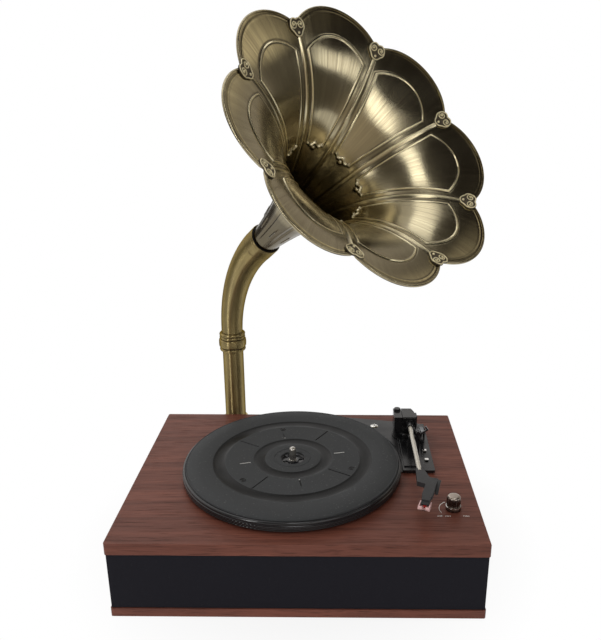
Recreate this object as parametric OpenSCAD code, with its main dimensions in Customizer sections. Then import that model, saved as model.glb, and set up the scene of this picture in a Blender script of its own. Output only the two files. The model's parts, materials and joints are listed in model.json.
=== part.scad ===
// Record player base with a petal horn on a bent pipe.
// Millimetres, +Z up. The origin is the middle of the whole object's box on the resting surface.
// Places are worked out from the middle of the cabinet's underside (in_place puts them in the frame).

/* [Cabinet] */
// Width of the cabinet
base_w = 350; // [335:1:420]
// Depth of the cabinet
base_d = 262; // [252:1:320]
// Height of the cabinet without its feet
base_h = 80; // [74:1:120]
// Thickness of the top board
top_t = 12; // [8:0.5:15]
// Thickness of the bottom board
bottom_t = 9; // [6:0.5:12]
// Thickness of the side panels
side_t = 12; // [8:0.5:15]
// Thickness of the rear panel
rear_t = 9; // [6:0.5:12]
// Thickness of the baffle that carries the loudspeakers
baffle_t = 9; // [6:0.5:12]
// Radius of the upright corners of the boards
corner_r = 2; // [1:0.5:6]

/* [Grille] */
// Depth of the grille frame
grille_t = 7; // [5:0.5:10]
// Width of the grille frame's bars
grille_bar = 8; // [5:0.5:12]
// Thickness of the grille cloth
cloth_t = 1; // [0.6:0.1:2]
// How far the cloth lies behind the edges of the boards
grille_set = 1; // [0.5:0.1:3]

/* [Feet] */
// Diameter of a foot
foot_d = 20; // [14:1:28]
// Height of a foot
foot_h = 5; // [4:0.5:10]
// Distance from the cabinet's sides to a foot's axis
foot_inset = 28; // [18:1:50]
// Length of the foot screws in the bottom board
foot_screw_len = 6; // [3:0.5:8]

/* [Loudspeakers] */
// Outer diameter of a loudspeaker's frame
driver_d = 54; // [46:1:56]
// Distance of the loudspeakers from the middle of the cabinet
driver_x = 95; // [70:1:110]
// Depth of a loudspeaker behind the baffle
driver_depth = 28; // [24:1:34]
// Diameter of a loudspeaker's magnet
magnet_d = 36; // [28:1:44]
// Diameter of the opening in front of a cone
cone_d = 46; // [36:1:48]

/* [Deck] */
// Place of the spindle across the cabinet
platter_x = -11.4; // [-30:0.1:0]
// Place of the spindle from front to back
platter_y = 0.2; // [-6:0.1:8]
// Thickness of the deck plate
deck_t = 1.5; // [1:0.1:3]
// Radius of the deck plate under the platter
deck_r = 109; // [104:1:110]
// Radius of the hole in the top board under the platter
well_r = 92; // [88:1:94]
// Place of the deck screw that shows, from the spindle to the right
lug_dx = 92.4; // [88:0.1:98]
// Place of the deck screw that shows, from the spindle to the back
lug_dy = 97.3; // [92:0.1:104]
// Diameter of a deck screw's head
deck_screw_d = 9; // [6:0.5:10]

/* [Platter] */
// Diameter of the platter
platter_d = 232; // [226:1:234]
// Height of the platter's rim
platter_h = 9.6; // [8:0.1:13]
// Thickness of the platter's disc
platter_t = 2; // [1.5:0.1:3]
// Thickness of the platter's outer skirt
skirt_t = 3; // [2:0.1:4]
// Gap between the deck plate and the platter's rim
rim_gap = 0.7; // [0.5:0.1:2]
// Diameter of the mat
mat_d = 226; // [210:1:228]
// Thickness of the mat
mat_t = 2; // [1.5:0.1:4]
// Depth of the recessed bands in the mat
mat_band = 0.8; // [0.4:0.1:1.2]
// Diameter of the round well in the middle of the mat
mat_hole_d = 25.6; // [22:0.1:30]
// Diameter of the ring under the platter that the belt drives
drive_d = 160; // [150:1:166]
// Diameter of the spindle
spindle_d = 7.1; // [6.9:0.05:7.2]
// Height of the spindle above the mat
spindle_up = 13; // [9:0.5:16]
// Radial running clearance of shafts and pins
run_gap = 0.05; // [0.02:0.01:0.09]

/* [Motor and belt] */
// Diameter of the motor
motor_d = 25; // [20:1:27]
// Height of the motor
motor_h = 19; // [15:1:24]
// Distance from the spindle to the motor's axis
motor_reach = 91; // [90:0.5:95]
// Direction of the motor seen from the spindle
motor_angle = 135; // [120:1:170]
// Diameter of the pulley
pulley_d = 8; // [6:0.5:10]
// Diameter of the motor's shaft
motor_shaft_d = 2; // [1.5:0.1:3]
// Height of the belt
belt_h = 4; // [3:0.5:5]
// Thickness of the belt
belt_t = 0.8; // [0.5:0.1:1.2]

/* [Tonearm] */
// Distance from the spindle to the arm's pivot, to the right
pivot_dx = 130.3; // [128:0.1:134]
// Distance from the spindle to the arm's pivot, to the back
pivot_dy = 75.8; // [72:0.1:80]
// Thickness of the tonearm plate
arm_plate_t = 3; // [2:0.5:5]
// Diameter of the turret under the arm
turret_d = 35; // [31:1:36]
// Height of the turret
turret_h = 7; // [5:0.5:9]
// Height of the arm's axis above the tonearm plate
arm_up = 19.5; // [18.5:0.1:22]
// Diameter of the arm's tube
tube_d = 4.8; // [4:0.1:5.6]
// Distance from the pivot to the front end of the tube
tube_reach = 120; // [118:0.5:122]
// Diameter of the pivot post
post_d = 6; // [5:0.1:7]
// Diameter of the pin that the arm tilts on
tilt_pin_d = 3; // [2:0.1:4]
// Length of the headshell
shell_len = 36.5; // [34:0.5:40]
// Width of the headshell
shell_w = 10; // [9:0.1:11]
// Angle between the headshell and the tube
shell_angle = 18.7; // [16:0.1:21]
// Distance from the arm rest to the pivot
rest_reach = 38; // [34:0.5:44]
// Gap between the tube and the shelf of the arm rest
rest_gap = 0.8; // [0.6:0.1:0.95]

/* [Controls] */
// Diameter of the volume knob at its foot
knob_d = 15; // [12:0.5:18]
// Height of the volume knob
knob_h = 15; // [12:0.5:18]
// Place of the knob from the cabinet's right side
knob_from_right = 25.8; // [25:0.1:30]
// Place of the knob from the cabinet's front
knob_from_front = 57.6; // [45:0.1:60]
// Diameter of the control's shaft
pot_shaft_d = 6; // [4:0.1:6.4]
// Travel of the small slide switches
switch_travel = 4; // [2:0.5:5]

/* [Horn pipe] */
// Outer diameter of the pipe
pipe_d = 25.4; // [22:0.1:28]
// Wall of the pipe
pipe_wall = 1.2; // [0.8:0.1:2]
// Place of the pipe across the cabinet
pipe_x = -93.8; // [-130:0.1:-60]
// Distance from the cabinet's back to the pipe's axis
pipe_behind = 19; // [18:0.1:26]
// Height of the flange's axis above the cabinet's underside
flange_z = 34; // [31:0.5:36]
// Diameter of the flange
flange_d = 48; // [46:1:56]
// Height of the top of the pipe above the cabinet's underside
pipe_top = 172; // [150:1:220]
// Outer diameter of the collar
collar_d = 33; // [31:0.5:38]
// Height of the collar
collar_h = 24; // [20:0.5:32]

/* [Elbow] */
// Radius of the elbow's bend
bend_r = 144.7; // [110:1:190]
// Direction that the horn faces, from straight ahead to the right
horn_yaw = 43.8; // [20:0.1:60]
// Upward tilt of the horn's axis
horn_tilt = 36.6; // [25:0.1:50]
// Outer diameter of the elbow's open end
socket_d = 36.4; // [34:0.1:42]
// Length of the socket sleeve at the elbow's open end
socket_len = 18; // [14:0.5:24]

/* [Horn] */
// Distance along the axis from the elbow's end to the tips of the petals
horn_len = 192.6; // [150:0.1:230]
// Diameter of the horn over the petals
horn_d = 291; // [240:1:340]
// Diameter at the notches between the petals
notch_d = 253.6; // [200:1:300]
// Outer diameter of the horn's neck at the elbow
neck_d = 31; // [28:0.1:32]
// Depth of the neck in the socket
neck_in = 12; // [8:0.5:14]
// Number of petals
petals = 8; // [6:1:12]
// Wall of the horn
horn_wall = 1.2; // [0.8:0.1:2]
// Radius of the rolled rim
rim_r = 1.6; // [1.2:0.1:2.5]
// Height of the seams between the petals
seam_h = 1.4; // [0.6:0.1:2]
// How far the panels swell towards the mouth
panel_swell = 1.0; // [0:0.1:5]
// Turn of the petals round the horn's axis
petal_turn = 98.4; // [0:0.1:180]
// Width of a medallion
medal_w = 19; // [14:0.5:22]

/* [Hidden] */
$fn = 96;

// Heights above the cabinet's underside
board_z = base_h - top_t;
deck_top = base_h + deck_t;
rim_z = deck_top + rim_gap;
platter_top = rim_z + platter_h;
mat_top = platter_top + mat_t;
arm_plate_top = deck_top + arm_plate_t;
arm_z = arm_plate_top + arm_up;

// Cabinet
front_y = -base_d / 2;
back_y = base_d / 2;
baffle_front = front_y + grille_set + cloth_t + grille_t;
baffle_back = baffle_front + baffle_t;
inner_x = base_w / 2 - side_t;
wall_h = board_z - bottom_t;
mid_z = bottom_t + wall_h / 2;
foot_x = base_w / 2 - foot_inset;
foot_y = base_d / 2 - foot_inset;
pilot_r = 1.5;
deck_screw_in = 8;
fit_gap = 0.1;

// Arm
pivot_x = platter_x + pivot_dx;
pivot_y = platter_y + pivot_dy;
plate_left = platter_x + platter_d / 2 + 1.6;
plate_right = pivot_x + 21.4;
plate_back = pivot_y + 22.8;
plate_front = pivot_y - 85;
turret_top = arm_plate_top + turret_h;
yoke_floor = turret_top + 0.3;
yoke_base_t = 3.4;
yoke_base_top = yoke_floor + yoke_base_t;
block_w = 15.4;
block_back = 10;
block_front = 16;
block_drop = 4.3;
block_rise = 8;
side_gap = 0.3;
tower_w = 9;
cheek_t = 2;
post_top = yoke_base_top - 0.4;
tube_end_y = pivot_y - tube_reach;
shell_x = pivot_x + 11.6;
shell_y = tube_end_y - 15.4;

// Knob
knob_x = base_w / 2 - knob_from_right;
knob_y = front_y + knob_from_front;

// Pipe
pipe_y = back_y + pipe_behind;
pipe_r = pipe_d / 2;
pipe_in = pipe_r - pipe_wall;
flange_t = 4;
elbow_r = pipe_r + 1.8;
socket_low = flange_z + pipe_behind;
socket_top = socket_low + 16;
collar_top = pipe_top + collar_h / 2;
swivel_gap = 0.3;
bend_z = collar_top + swivel_gap;
spigot_in = 24;

// Horn axis: from the elbow's bend to the mouth
axis_az = horn_yaw - 90;
axis_n = [cos(horn_tilt) * cos(axis_az), cos(horn_tilt) * sin(axis_az), sin(horn_tilt)];
axis_u = [-sin(axis_az), cos(axis_az), 0];
axis_v = cross(axis_n, axis_u);
bend_angle = 90 - horn_tilt;
bend_out = [cos(axis_az), sin(axis_az), 0];
socket_from = bend_point(1);
socket_end = socket_from + socket_len * axis_n;

// Petal outline: arcs through the notches
pitch = 360 / petals;
notch_r = notch_d / 2;
tip_r = horn_d / 2;
chord_x = notch_r * cos(pitch / 2);
chord_y = notch_r * sin(pitch / 2);
bulge = tip_r - chord_x;
petal_r = (chord_y * chord_y + bulge * bulge) / (2 * bulge);
petal_c = tip_r - petal_r;

// Flare of the horn: a Bezier curve of distance along the axis and radius
neck_r = neck_d / 2;
handle_1 = [0.49 * horn_len, neck_r + 10.5];
handle_2 = [0.878 * horn_len, 0.351 * tip_r];
function bez(t, a, b, c, d) =
    pow(1 - t, 3) * a + 3 * pow(1 - t, 2) * t * b + 3 * (1 - t) * t * t * c + pow(t, 3) * d;
function flare(t) = bez(t, [0, neck_r], handle_1, handle_2, [horn_len, tip_r]);
function flare_normal(t) = let (d = flare(min(t + 0.01, 1)) - flare(max(t - 0.01, 0)))
    [-d[1], d[0]] / norm(d);
flare_table = [for (i = [0:60]) [flare(i / 60)[1], i / 60]];
function petal_edge(a) = petal_c * cos(a) + sqrt(petal_r * petal_r - pow(petal_c * sin(a), 2));
function flare_end(a) = lookup(min(petal_edge(a), tip_r), flare_table);

// Height of a point of a petal above the plain flare, a being its angle from the petal's middle
function swell(a, t) =
    panel_swell * pow(cos(180 * a / pitch), 2) * pow(sin(180 * min(max((t - 0.45) / 0.55, 0), 1)), 2);
function seam(a, t) = seam_h * max(0, 1 - (pitch / 2 - abs(a)) / 2.2) * min(1, t / 0.15);
function on_horn(a, t, side) =
    flare(t) + flare_normal(t) * ((side - 1) * horn_wall / 2 - swell(a, t) - seam(a, t));

// One section of the horn: up the inner face, round the rolled rim, down the outer face
flare_steps = 13;
function step_t(i, end) = end * (1 - pow(1 - i / flare_steps, 1.25));
function rim_points(a, end) = let (c = on_horn(a, end, 0), n = flare_normal(end), d = [n[1], -n[0]])
    [for (q = [-60, 0, 60, 120]) c + rim_r * (d * cos(q - 30) + n * sin(q - 30))];
function section(a) = let (end = flare_end(a)) concat(
    [[-neck_in, neck_r - horn_wall]],
    [for (i = [0:flare_steps - 1]) on_horn(a, step_t(i, end), -1)],
    rim_points(a, end),
    [for (i = [flare_steps - 1:-1:0]) on_horn(a, step_t(i, end), 1)],
    [[-neck_in, neck_r]]);
petal_steps = [-0.5, -0.45, -0.355, -0.245, -0.12, 0, 0.12, 0.245, 0.355, 0.45];
columns = [for (k = [0:petals - 1]) for (s = petal_steps) [k + 0.5 + s, s * pitch]];
function horn_place(q, turn) = let (a = petal_turn - turn * pitch)
    socket_end + q[0] * axis_n + q[1] * (cos(a) * axis_u + sin(a) * axis_v);
sections = [for (c = columns) [for (q = section(c[1])) horn_place(q, c[0])]];
rings = len(sections[0]);

// Elbow centre line from the collar, f running from 0 to 1
function bend_point(f) = [pipe_x, pipe_y, bend_z]
    + bend_r * ((1 - cos(f * bend_angle)) * bend_out + [0, 0, sin(f * bend_angle)]);
function bend_dir(f) = [0, 0, cos(f * bend_angle)] + sin(f * bend_angle) * bend_out;
elbow_steps = 14;
elbow_sides = 32;
elbow_low_r = pipe_r + 0.2;
socket_r = socket_d / 2;
function ring(f, r) = let (w = axis_u, h = cross(bend_dir(f), w))
    [for (k = [0:elbow_sides - 1]) let (a = 360 * k / elbow_sides)
        bend_point(f) + r * (cos(a) * w + sin(a) * h)];
function elbow_radius(f) = elbow_low_r + (socket_r - elbow_low_r) * pow(f, 1.4);

// Middle of the object's box, from the petals, the cabinet and the collar
rim_cloud = [for (s = sections) for (p = s) p];
low_x = min(-base_w / 2, min([for (p = rim_cloud) p[0]]));
high_x = max(base_w / 2, max([for (p = rim_cloud) p[0]]));
low_y = min(front_y, min([for (p = rim_cloud) p[1]]));
high_y = max(pipe_y + collar_d / 2, max([for (p = rim_cloud) p[1]]));
origin_x = (low_x + high_x) / 2;
origin_y = (low_y + high_y) / 2;

wood = [0.43, 0.27, 0.22];
dark_wood = [0.36, 0.23, 0.19];
black = [0.12, 0.12, 0.13];
deep_black = [0.08, 0.08, 0.09];
steel = [0.75, 0.74, 0.72];
brass = [0.55, 0.50, 0.33];
dark_brass = [0.40, 0.36, 0.24];

module in_place() {
    translate([-origin_x, -origin_y, foot_h]) children();
}

// A board with rounded upright corners, its middle at the origin, rising from z = 0
module rounded_outline(w, d, r) {
    square([w - 2 * r, d], center = true);
    square([w, d - 2 * r], center = true);
    for (x = [-1, 1], y = [-1, 1])
        translate([x * (w / 2 - r), y * (d / 2 - r)]) circle(r);
}

module board(w, d, t, r) {
    linear_extrude(t) rounded_outline(w, d, r);
}

module foot_places() {
    for (x = [-foot_x, foot_x], y = [-foot_y, foot_y])
        translate([x, y, 0]) children();
}

module at_platter() {
    translate([platter_x, platter_y, 0]) children();
}

module at_motor() {
    at_platter() rotate([0, 0, motor_angle]) translate([motor_reach, 0, 0])
        rotate([0, 0, -motor_angle]) children();
}

// Screws that hold the deck plate: one shows behind the platter, two lie under it
module deck_screw_places() {
    at_platter() {
        translate([lug_dx, lug_dy, 0]) children();
        for (a = [215, 325]) rotate([0, 0, a]) translate([(drive_d + platter_d) / 4, 0, 0]) children();
    }
}

// A tube with its lower end at the origin, along +Z
module pipe_piece(outer, inner, len) {
    difference() {
        cylinder(r = outer, h = len);
        translate([0, 0, -1]) cylinder(r = inner, h = len + 2);
    }
}

// Cabinet

module top_board() {
    color(wood) in_place() difference() {
        translate([0, 0, board_z]) board(base_w, base_d, top_t, corner_r);
        at_platter() translate([0, 0, board_z - 1]) cylinder(r = well_r, h = top_t + 2);
        at_motor() translate([0, 0, board_z - 1]) cylinder(r = motor_d / 2 + 2, h = top_t + 2);
        translate([plate_left + 3, plate_front + 4, board_z - 1])
            cube([plate_right - plate_left - 6, plate_back - plate_front - 8, top_t + 2]);
        deck_screw_places() translate([0, 0, base_h - deck_screw_in])
            cylinder(r = pilot_r, h = deck_screw_in + 1);
        translate([knob_x, knob_y, board_z - 1]) cylinder(r = pot_shaft_d / 2 + 1, h = top_t + 2);
    }
}

module bottom_board() {
    color(wood) in_place() difference() {
        board(base_w, base_d, bottom_t, corner_r);
        foot_places() translate([0, 0, -1]) cylinder(r = pilot_r, h = foot_screw_len + 1);
        for (x = [-1, 1], y = [-1, 1])
            translate([amp_x + x * post_dx, amp_y + y * post_dy, bottom_t - 4]) cylinder(r = pilot_r, h = 5);
    }
}

module side_panel(x) {
    translate([x, baffle_front, bottom_t]) cube([side_t, back_y - baffle_front, wall_h]);
}

module left_side() {
    color(dark_wood) in_place() side_panel(-base_w / 2);
}

module right_side() {
    color(dark_wood) in_place() side_panel(base_w / 2 - side_t);
}

jack_x = inner_x - 62;
jack_z = mid_z;
jack_w = 84;
jack_h = 34;
jack_bore_r = 5.5;
jack_r = 5;
jack_places = [-28, -9, 9, 28];

module rear_panel() {
    color(dark_wood) in_place() difference() {
        translate([-inner_x, back_y - rear_t, bottom_t]) cube([2 * inner_x, rear_t, wall_h]);
        translate([pipe_x, back_y + 1, flange_z]) rotate([90, 0, 0]) cylinder(r = pipe_in, h = rear_t + 2);
        flange_screw_places() translate([0, 0, -flange_screw_len - flange_t])
            cylinder(r = pilot_r, h = flange_screw_len + flange_t + 1);
        for (x = jack_places)
            translate([jack_x + x, back_y + 1, jack_z]) rotate([90, 0, 0])
                cylinder(r = jack_bore_r + 1, h = rear_t + 2);
    }
}

module driver_places(side) {
    translate([side * driver_x, baffle_back, mid_z]) rotate([-90, 0, 0]) children();
}

module front_baffle() {
    color(deep_black) in_place() difference() {
        translate([-inner_x, baffle_front, bottom_t]) cube([2 * inner_x, baffle_t, wall_h]);
        for (s = [-1, 1])
            driver_places(s) translate([0, 0, -baffle_t - 1]) cylinder(d = cone_d, h = baffle_t + 2);
    }
}

module grille_frame() {
    w = base_w - 2 * grille_set;
    bar = grille_bar;
    color(deep_black) in_place()
        translate([0, front_y + grille_set + cloth_t, bottom_t + 0.2]) difference() {
            translate([-w / 2 + cloth_t, 0, 0]) cube([w - 2 * cloth_t, grille_t, wall_h - 0.4]);
            for (s = [-1, 0, 1])
                translate([s * (w - bar) / 3 - (w - 4 * bar) / 6, -1, bar])
                    cube([(w - 4 * bar) / 3, grille_t + 2, wall_h - 0.4 - 2 * bar]);
        }
}

module grille_cloth() {
    w = base_w - 2 * grille_set;
    color(black) in_place()
        translate([0, front_y + grille_set, bottom_t + 0.2]) difference() {
            translate([-w / 2, 0, 0]) cube([w, grille_t + cloth_t, wall_h - 0.4]);
            translate([-w / 2 + cloth_t, cloth_t, -1]) cube([w - 2 * cloth_t, grille_t + 1, wall_h + 2]);
        }
}

module feet() {
    color(deep_black) in_place() foot_places() translate([0, 0, -foot_h]) difference() {
        union() {
            cylinder(d1 = foot_d - 2, d2 = foot_d, h = 1);
            translate([0, 0, 1]) cylinder(d = foot_d, h = foot_h - 1);
        }
        translate([0, 0, -1]) cylinder(r = 4, h = 3);
        cylinder(r = pilot_r, h = foot_h + 1);
    }
}

module foot_screws() {
    color(steel) in_place() foot_places() {
        translate([0, 0, 0.6 - foot_h]) cylinder(r = 3.5, h = 1.4);
        translate([0, 0, 1 - foot_h]) cylinder(r = pilot_r, h = foot_h - 1 + foot_screw_len);
    }
}

// Loudspeakers: frame and magnet, with the cone in front

module speaker(side) {
    in_place() driver_places(side) rotate_extrude() polygon([
        [cone_d / 2, 0], [driver_d / 2, 0], [driver_d / 2, 2], [cone_d / 2 + 1, 3],
        [magnet_d / 2 - 2, driver_depth - 12], [magnet_d / 2, driver_depth - 12],
        [magnet_d / 2, driver_depth], [0, driver_depth], [0, driver_depth - 10],
        [magnet_d / 2 - 5, driver_depth - 12], [cone_d / 2 - 1, 2], [cone_d / 2, 1.2]]);
}

module cone(side) {
    in_place() driver_places(side) rotate_extrude() polygon([
        [0, driver_depth - 18], [6, driver_depth - 16], [cone_d / 2 - 4, 1], [cone_d / 2 - 2, -0.6],
        [cone_d / 2 - fit_gap, 0], [cone_d / 2 - fit_gap, 0.8], [cone_d / 2 - 2, 0.4],
        [cone_d / 2 - 3.6, 2], [6.5, driver_depth - 14.8], [0, driver_depth - 16.8]]);
}

module left_speaker() {
    color("dimgray") speaker(-1);
}

module right_speaker() {
    color("dimgray") speaker(1);
}

module left_cone() {
    color(deep_black) cone(-1);
}

module right_cone() {
    color(deep_black) cone(1);
}

// Deck and drive

boss_r = 8;
shaft_r = spindle_d / 2 + 0.5;
shoulder_up = 0.3;
washer_t = 0.5;
boss_top = rim_z + 1;
hub_low = boss_top + washer_t + fit_gap;
drive_r = drive_d / 2;
belt_z = rim_z + 0.9;
belt_gap = 0.3;

module deck_outline() {
    at_platter() circle(deck_r);
    translate([plate_left - 4, plate_front + 2])
        square([plate_right - plate_left + 2, plate_back - plate_front - 3]);
    at_platter() polygon([[0, 0], [plate_left - platter_x, 0], [plate_left - platter_x, lug_dy + 13],
        [lug_dx - 35, lug_dy + 24], [20, deck_r - 3]]);
}

module deck_plate() {
    color(black) in_place() difference() {
        union() {
            translate([0, 0, base_h]) linear_extrude(deck_t) deck_outline();
            at_platter() translate([0, 0, board_z]) cylinder(r = boss_r, h = boss_top - board_z);
        }
        at_platter() translate([0, 0, board_z - 1]) cylinder(r = shaft_r, h = boss_top - board_z + 2);
        at_motor() translate([0, 0, base_h - 1]) cylinder(d = pulley_d + 3, h = deck_t + 2);
        deck_screw_places() translate([0, 0, base_h - 1]) cylinder(r = pilot_r, h = deck_t + 2);
    }
}

module deck_screws() {
    color(steel) in_place() deck_screw_places() {
        translate([0, 0, deck_top]) rotate_extrude() polygon([
            [0, 0], [deck_screw_d / 2, 0], [deck_screw_d / 2 - 0.4, 0.9], [deck_screw_d / 4, 1.8], [0, 2.1]]);
        translate([0, 0, base_h - deck_screw_in]) cylinder(r = pilot_r, h = deck_screw_in + deck_t + 0.5);
    }
}

module spindle() {
    r = spindle_d / 2;
    color(steel) in_place() at_platter() {
        translate([0, 0, board_z]) cylinder(r = shaft_r, h = platter_top + shoulder_up - board_z);
        translate([0, 0, platter_top - 1]) cylinder(r = r, h = mat_top + spindle_up - r - platter_top + 1);
        translate([0, 0, mat_top + spindle_up - r]) sphere(r);
    }
}

module hub_washer() {
    color(brass) in_place() at_platter() translate([0, 0, boss_top])
        pipe_piece(boss_r - 0.5, shaft_r + run_gap, washer_t);
}

module platter() {
    r = platter_d / 2;
    hub_r = mat_hole_d / 2 - 0.8;
    plate_z = platter_top - platter_t;
    color(black) in_place() at_platter() difference() {
        union() {
            rotate_extrude() difference() {
                union() {
                    translate([0, rim_z]) square([r - skirt_t, platter_h]);
                    translate([0, rim_z]) square([r, platter_h - skirt_t]);
                    translate([r - skirt_t, platter_top - skirt_t]) circle(skirt_t);
                }
                translate([-1, rim_z - 1]) square([r - skirt_t + 1, platter_h - platter_t + 1]);
                translate([-r, 0]) square([r, 2 * base_h]);
            }
            translate([0, 0, belt_z - 1]) pipe_piece(drive_r, drive_r - 2.5, plate_z - belt_z + 2);
            translate([0, 0, hub_low]) cylinder(r = hub_r, h = plate_z - hub_low + 1);
        }
        translate([0, 0, hub_low - 1]) cylinder(r = shaft_r + run_gap, h = platter_h + 4);
        translate([0, 0, plate_z - 1.5]) pipe_piece(hub_r - 0.8, spindle_d / 2 + 3, platter_t + 3);
    }
}

mat_bands = [[71.8, 84], [30.7, 41.8]];

module mat() {
    color(black) in_place() at_platter() difference() {
        translate([0, 0, platter_top]) cylinder(d = mat_d, h = mat_t);
        translate([0, 0, platter_top - 1]) cylinder(d = mat_hole_d, h = mat_t + 2);
        for (b = mat_bands)
            translate([0, 0, mat_top - mat_band]) rotate_extrude()
                polygon([[b[0] + 1, 0], [b[1] - 1, 0], [b[1], mat_band + 0.1], [b[0], mat_band + 0.1]]);
    }
}

module motor() {
    color("dimgray") in_place() at_motor() difference() {
        translate([0, 0, base_h - motor_h]) cylinder(d = motor_d, h = motor_h);
        translate([0, 0, base_h - 6]) cylinder(r = motor_shaft_d / 2 + run_gap, h = 7);
    }
}

module motor_pulley() {
    r = pulley_d / 2;
    color(brass) in_place() at_motor() {
        translate([0, 0, base_h - 5]) cylinder(d = motor_shaft_d, h = belt_z - base_h + 6);
        translate([0, 0, belt_z]) rotate_extrude() polygon([
            [0, -0.6], [r + 0.8, -0.6], [r + 0.8, -0.2], [r, -0.2], [r, belt_h + 0.2], [r + 0.8, belt_h + 0.2],
            [r + 0.8, belt_h + 0.6], [0, belt_h + 0.6]]);
    }
}

// The outline round two circles and the straight runs between them
module belt_outline(big, small) {
    a = acos((big - small) / motor_reach);
    polygon(concat(
        [for (i = [0:72]) let (b = a + i * (360 - 2 * a) / 72) [big * cos(b), big * sin(b)]],
        [for (i = [0:24]) let (b = -a + i * 2 * a / 24) [motor_reach + small * cos(b), small * sin(b)]]));
}

module belt() {
    color(deep_black) in_place() at_platter() rotate([0, 0, motor_angle]) translate([0, 0, belt_z + 0.1])
        linear_extrude(belt_h - 0.2) difference() {
            belt_outline(drive_r + belt_gap + belt_t, pulley_d / 2 + belt_gap + belt_t);
            belt_outline(drive_r + belt_gap, pulley_d / 2 + belt_gap);
        }
}

// Tonearm

module plate_outline() {
    difference() {
        union() {
            translate([(plate_left + plate_right) / 2, (plate_front + plate_back) / 2])
                rounded_outline(plate_right - plate_left, plate_back - plate_front, 1.5);
            translate([pivot_x, pivot_y]) circle(turret_d / 2 + 1);
        }
        translate([pivot_x - turret_d, plate_back]) square([2 * turret_d, turret_d]);
    }
}

switch_x = pivot_x + 14.6;
speed_y = pivot_y - 44.5;
stop_y = pivot_y - 64.5;
slot_w = 2.6;
rest_y = pivot_y - rest_reach;
lever_x = pivot_x + 15;
lever_set = 8;
lever_up = 8;
lever_y = pivot_y - lever_set;
lever_z = arm_plate_top + lever_up;
lever_pin_r = 1.5;
bar_y = pivot_y - 0.255 * tube_reach;
bar_drop = 4.4;
bar_travel = 4;

module tonearm_plate() {
    color(deep_black) in_place() difference() {
        union() {
            translate([0, 0, deck_top]) linear_extrude(arm_plate_t) plate_outline();
            // Ears for the cueing lever's pin
            for (x = [lever_x - 4, lever_x + 2.5])
                translate([x, lever_y - 3, arm_plate_top]) cube([1.5, 6, lever_z - arm_plate_top + 3]);
            // Raised cover from the turret to the front
            translate([pivot_x - 11, plate_front + 7, arm_plate_top])
                cube([13, pivot_y - turret_d / 2 - 7.4 - plate_front, 1.4]);
            // Guide for the cueing bar
            translate([pivot_x, bar_y, arm_plate_top]) cylinder(r = 4, h = 6);
        }
        translate([pivot_x, pivot_y, deck_top - 1]) cylinder(d = post_d, h = arm_plate_t + 2);
        translate([lever_x - 6, lever_y, lever_z]) rotate([0, 90, 0])
            cylinder(r = lever_pin_r + run_gap, h = 12);
        translate([pivot_x, bar_y, deck_top + 1]) cylinder(r = 2 + run_gap, h = arm_plate_t + 8);
        translate([pivot_x - 3.7, rest_y - 3.3, arm_plate_top]) cube([8, 6.6, 3]);
        for (y = [speed_y, stop_y])
            translate([switch_x - slot_w / 2, y - switch_travel / 2 - 1.4, deck_top - 1])
                cube([slot_w, switch_travel + 2.8, arm_plate_t + 2]);
    }
}

module pivot_turret() {
    color(deep_black) in_place() translate([pivot_x, pivot_y, arm_plate_top]) difference() {
        rotate_extrude() polygon([[0, 0], [turret_d / 2, 0], [turret_d / 2 - 0.6, turret_h - 1],
            [turret_d / 2 - 1.6, turret_h], [0, turret_h]]);
        translate([0, 0, -1]) cylinder(d = post_d, h = turret_h + 2);
        // Room for the cueing lever
        translate([lever_x - pivot_x - 4.4, -turret_d - 2, -1]) cube([turret_d, turret_d, turret_h + 2]);
    }
}

module pivot_post() {
    color(steel) in_place() translate([pivot_x, pivot_y, deck_top])
        cylinder(d = post_d, h = post_top - deck_top);
}

// The pieces of the arm are drawn from the point where the swing axis meets the tilt axis
module at_arm() {
    translate([pivot_x, pivot_y, arm_z]) children();
}

yoke_down = arm_z - yoke_floor;

module arm_yoke() {
    half = block_w / 2 + side_gap;
    color(black) in_place() at_arm() difference() {
        union() {
            translate([-half - tower_w, -block_front + 2, -yoke_down])
                cube([2 * half + tower_w + cheek_t, block_front + block_back - 2, yoke_base_t]);
            translate([-half - tower_w, -block_front + 2, -yoke_down])
                cube([tower_w, block_front + block_back - 2, yoke_down + block_rise - 1]);
            translate([half, -5, -yoke_down]) cube([cheek_t, 10, yoke_down + 4]);
            translate([-half - tower_w / 2, 5.5, block_rise - 2]) cylinder(r = 3.6, h = 3.4);
        }
        translate([0, 0, -yoke_down - 1]) cylinder(r = post_d / 2 + run_gap, h = yoke_base_t + 2);
        translate([-half - 6, 0, 0]) rotate([0, 90, 0])
            cylinder(d = tilt_pin_d, h = 2 * half + 6 + cheek_t + 1);
    }
}

module tilt_pin() {
    half = block_w / 2 + side_gap;
    color(steel) in_place() at_arm() translate([-half - 6, 0, 0]) rotate([0, 90, 0])
        cylinder(d = tilt_pin_d, h = 2 * half + 6 + cheek_t);
}

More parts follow.
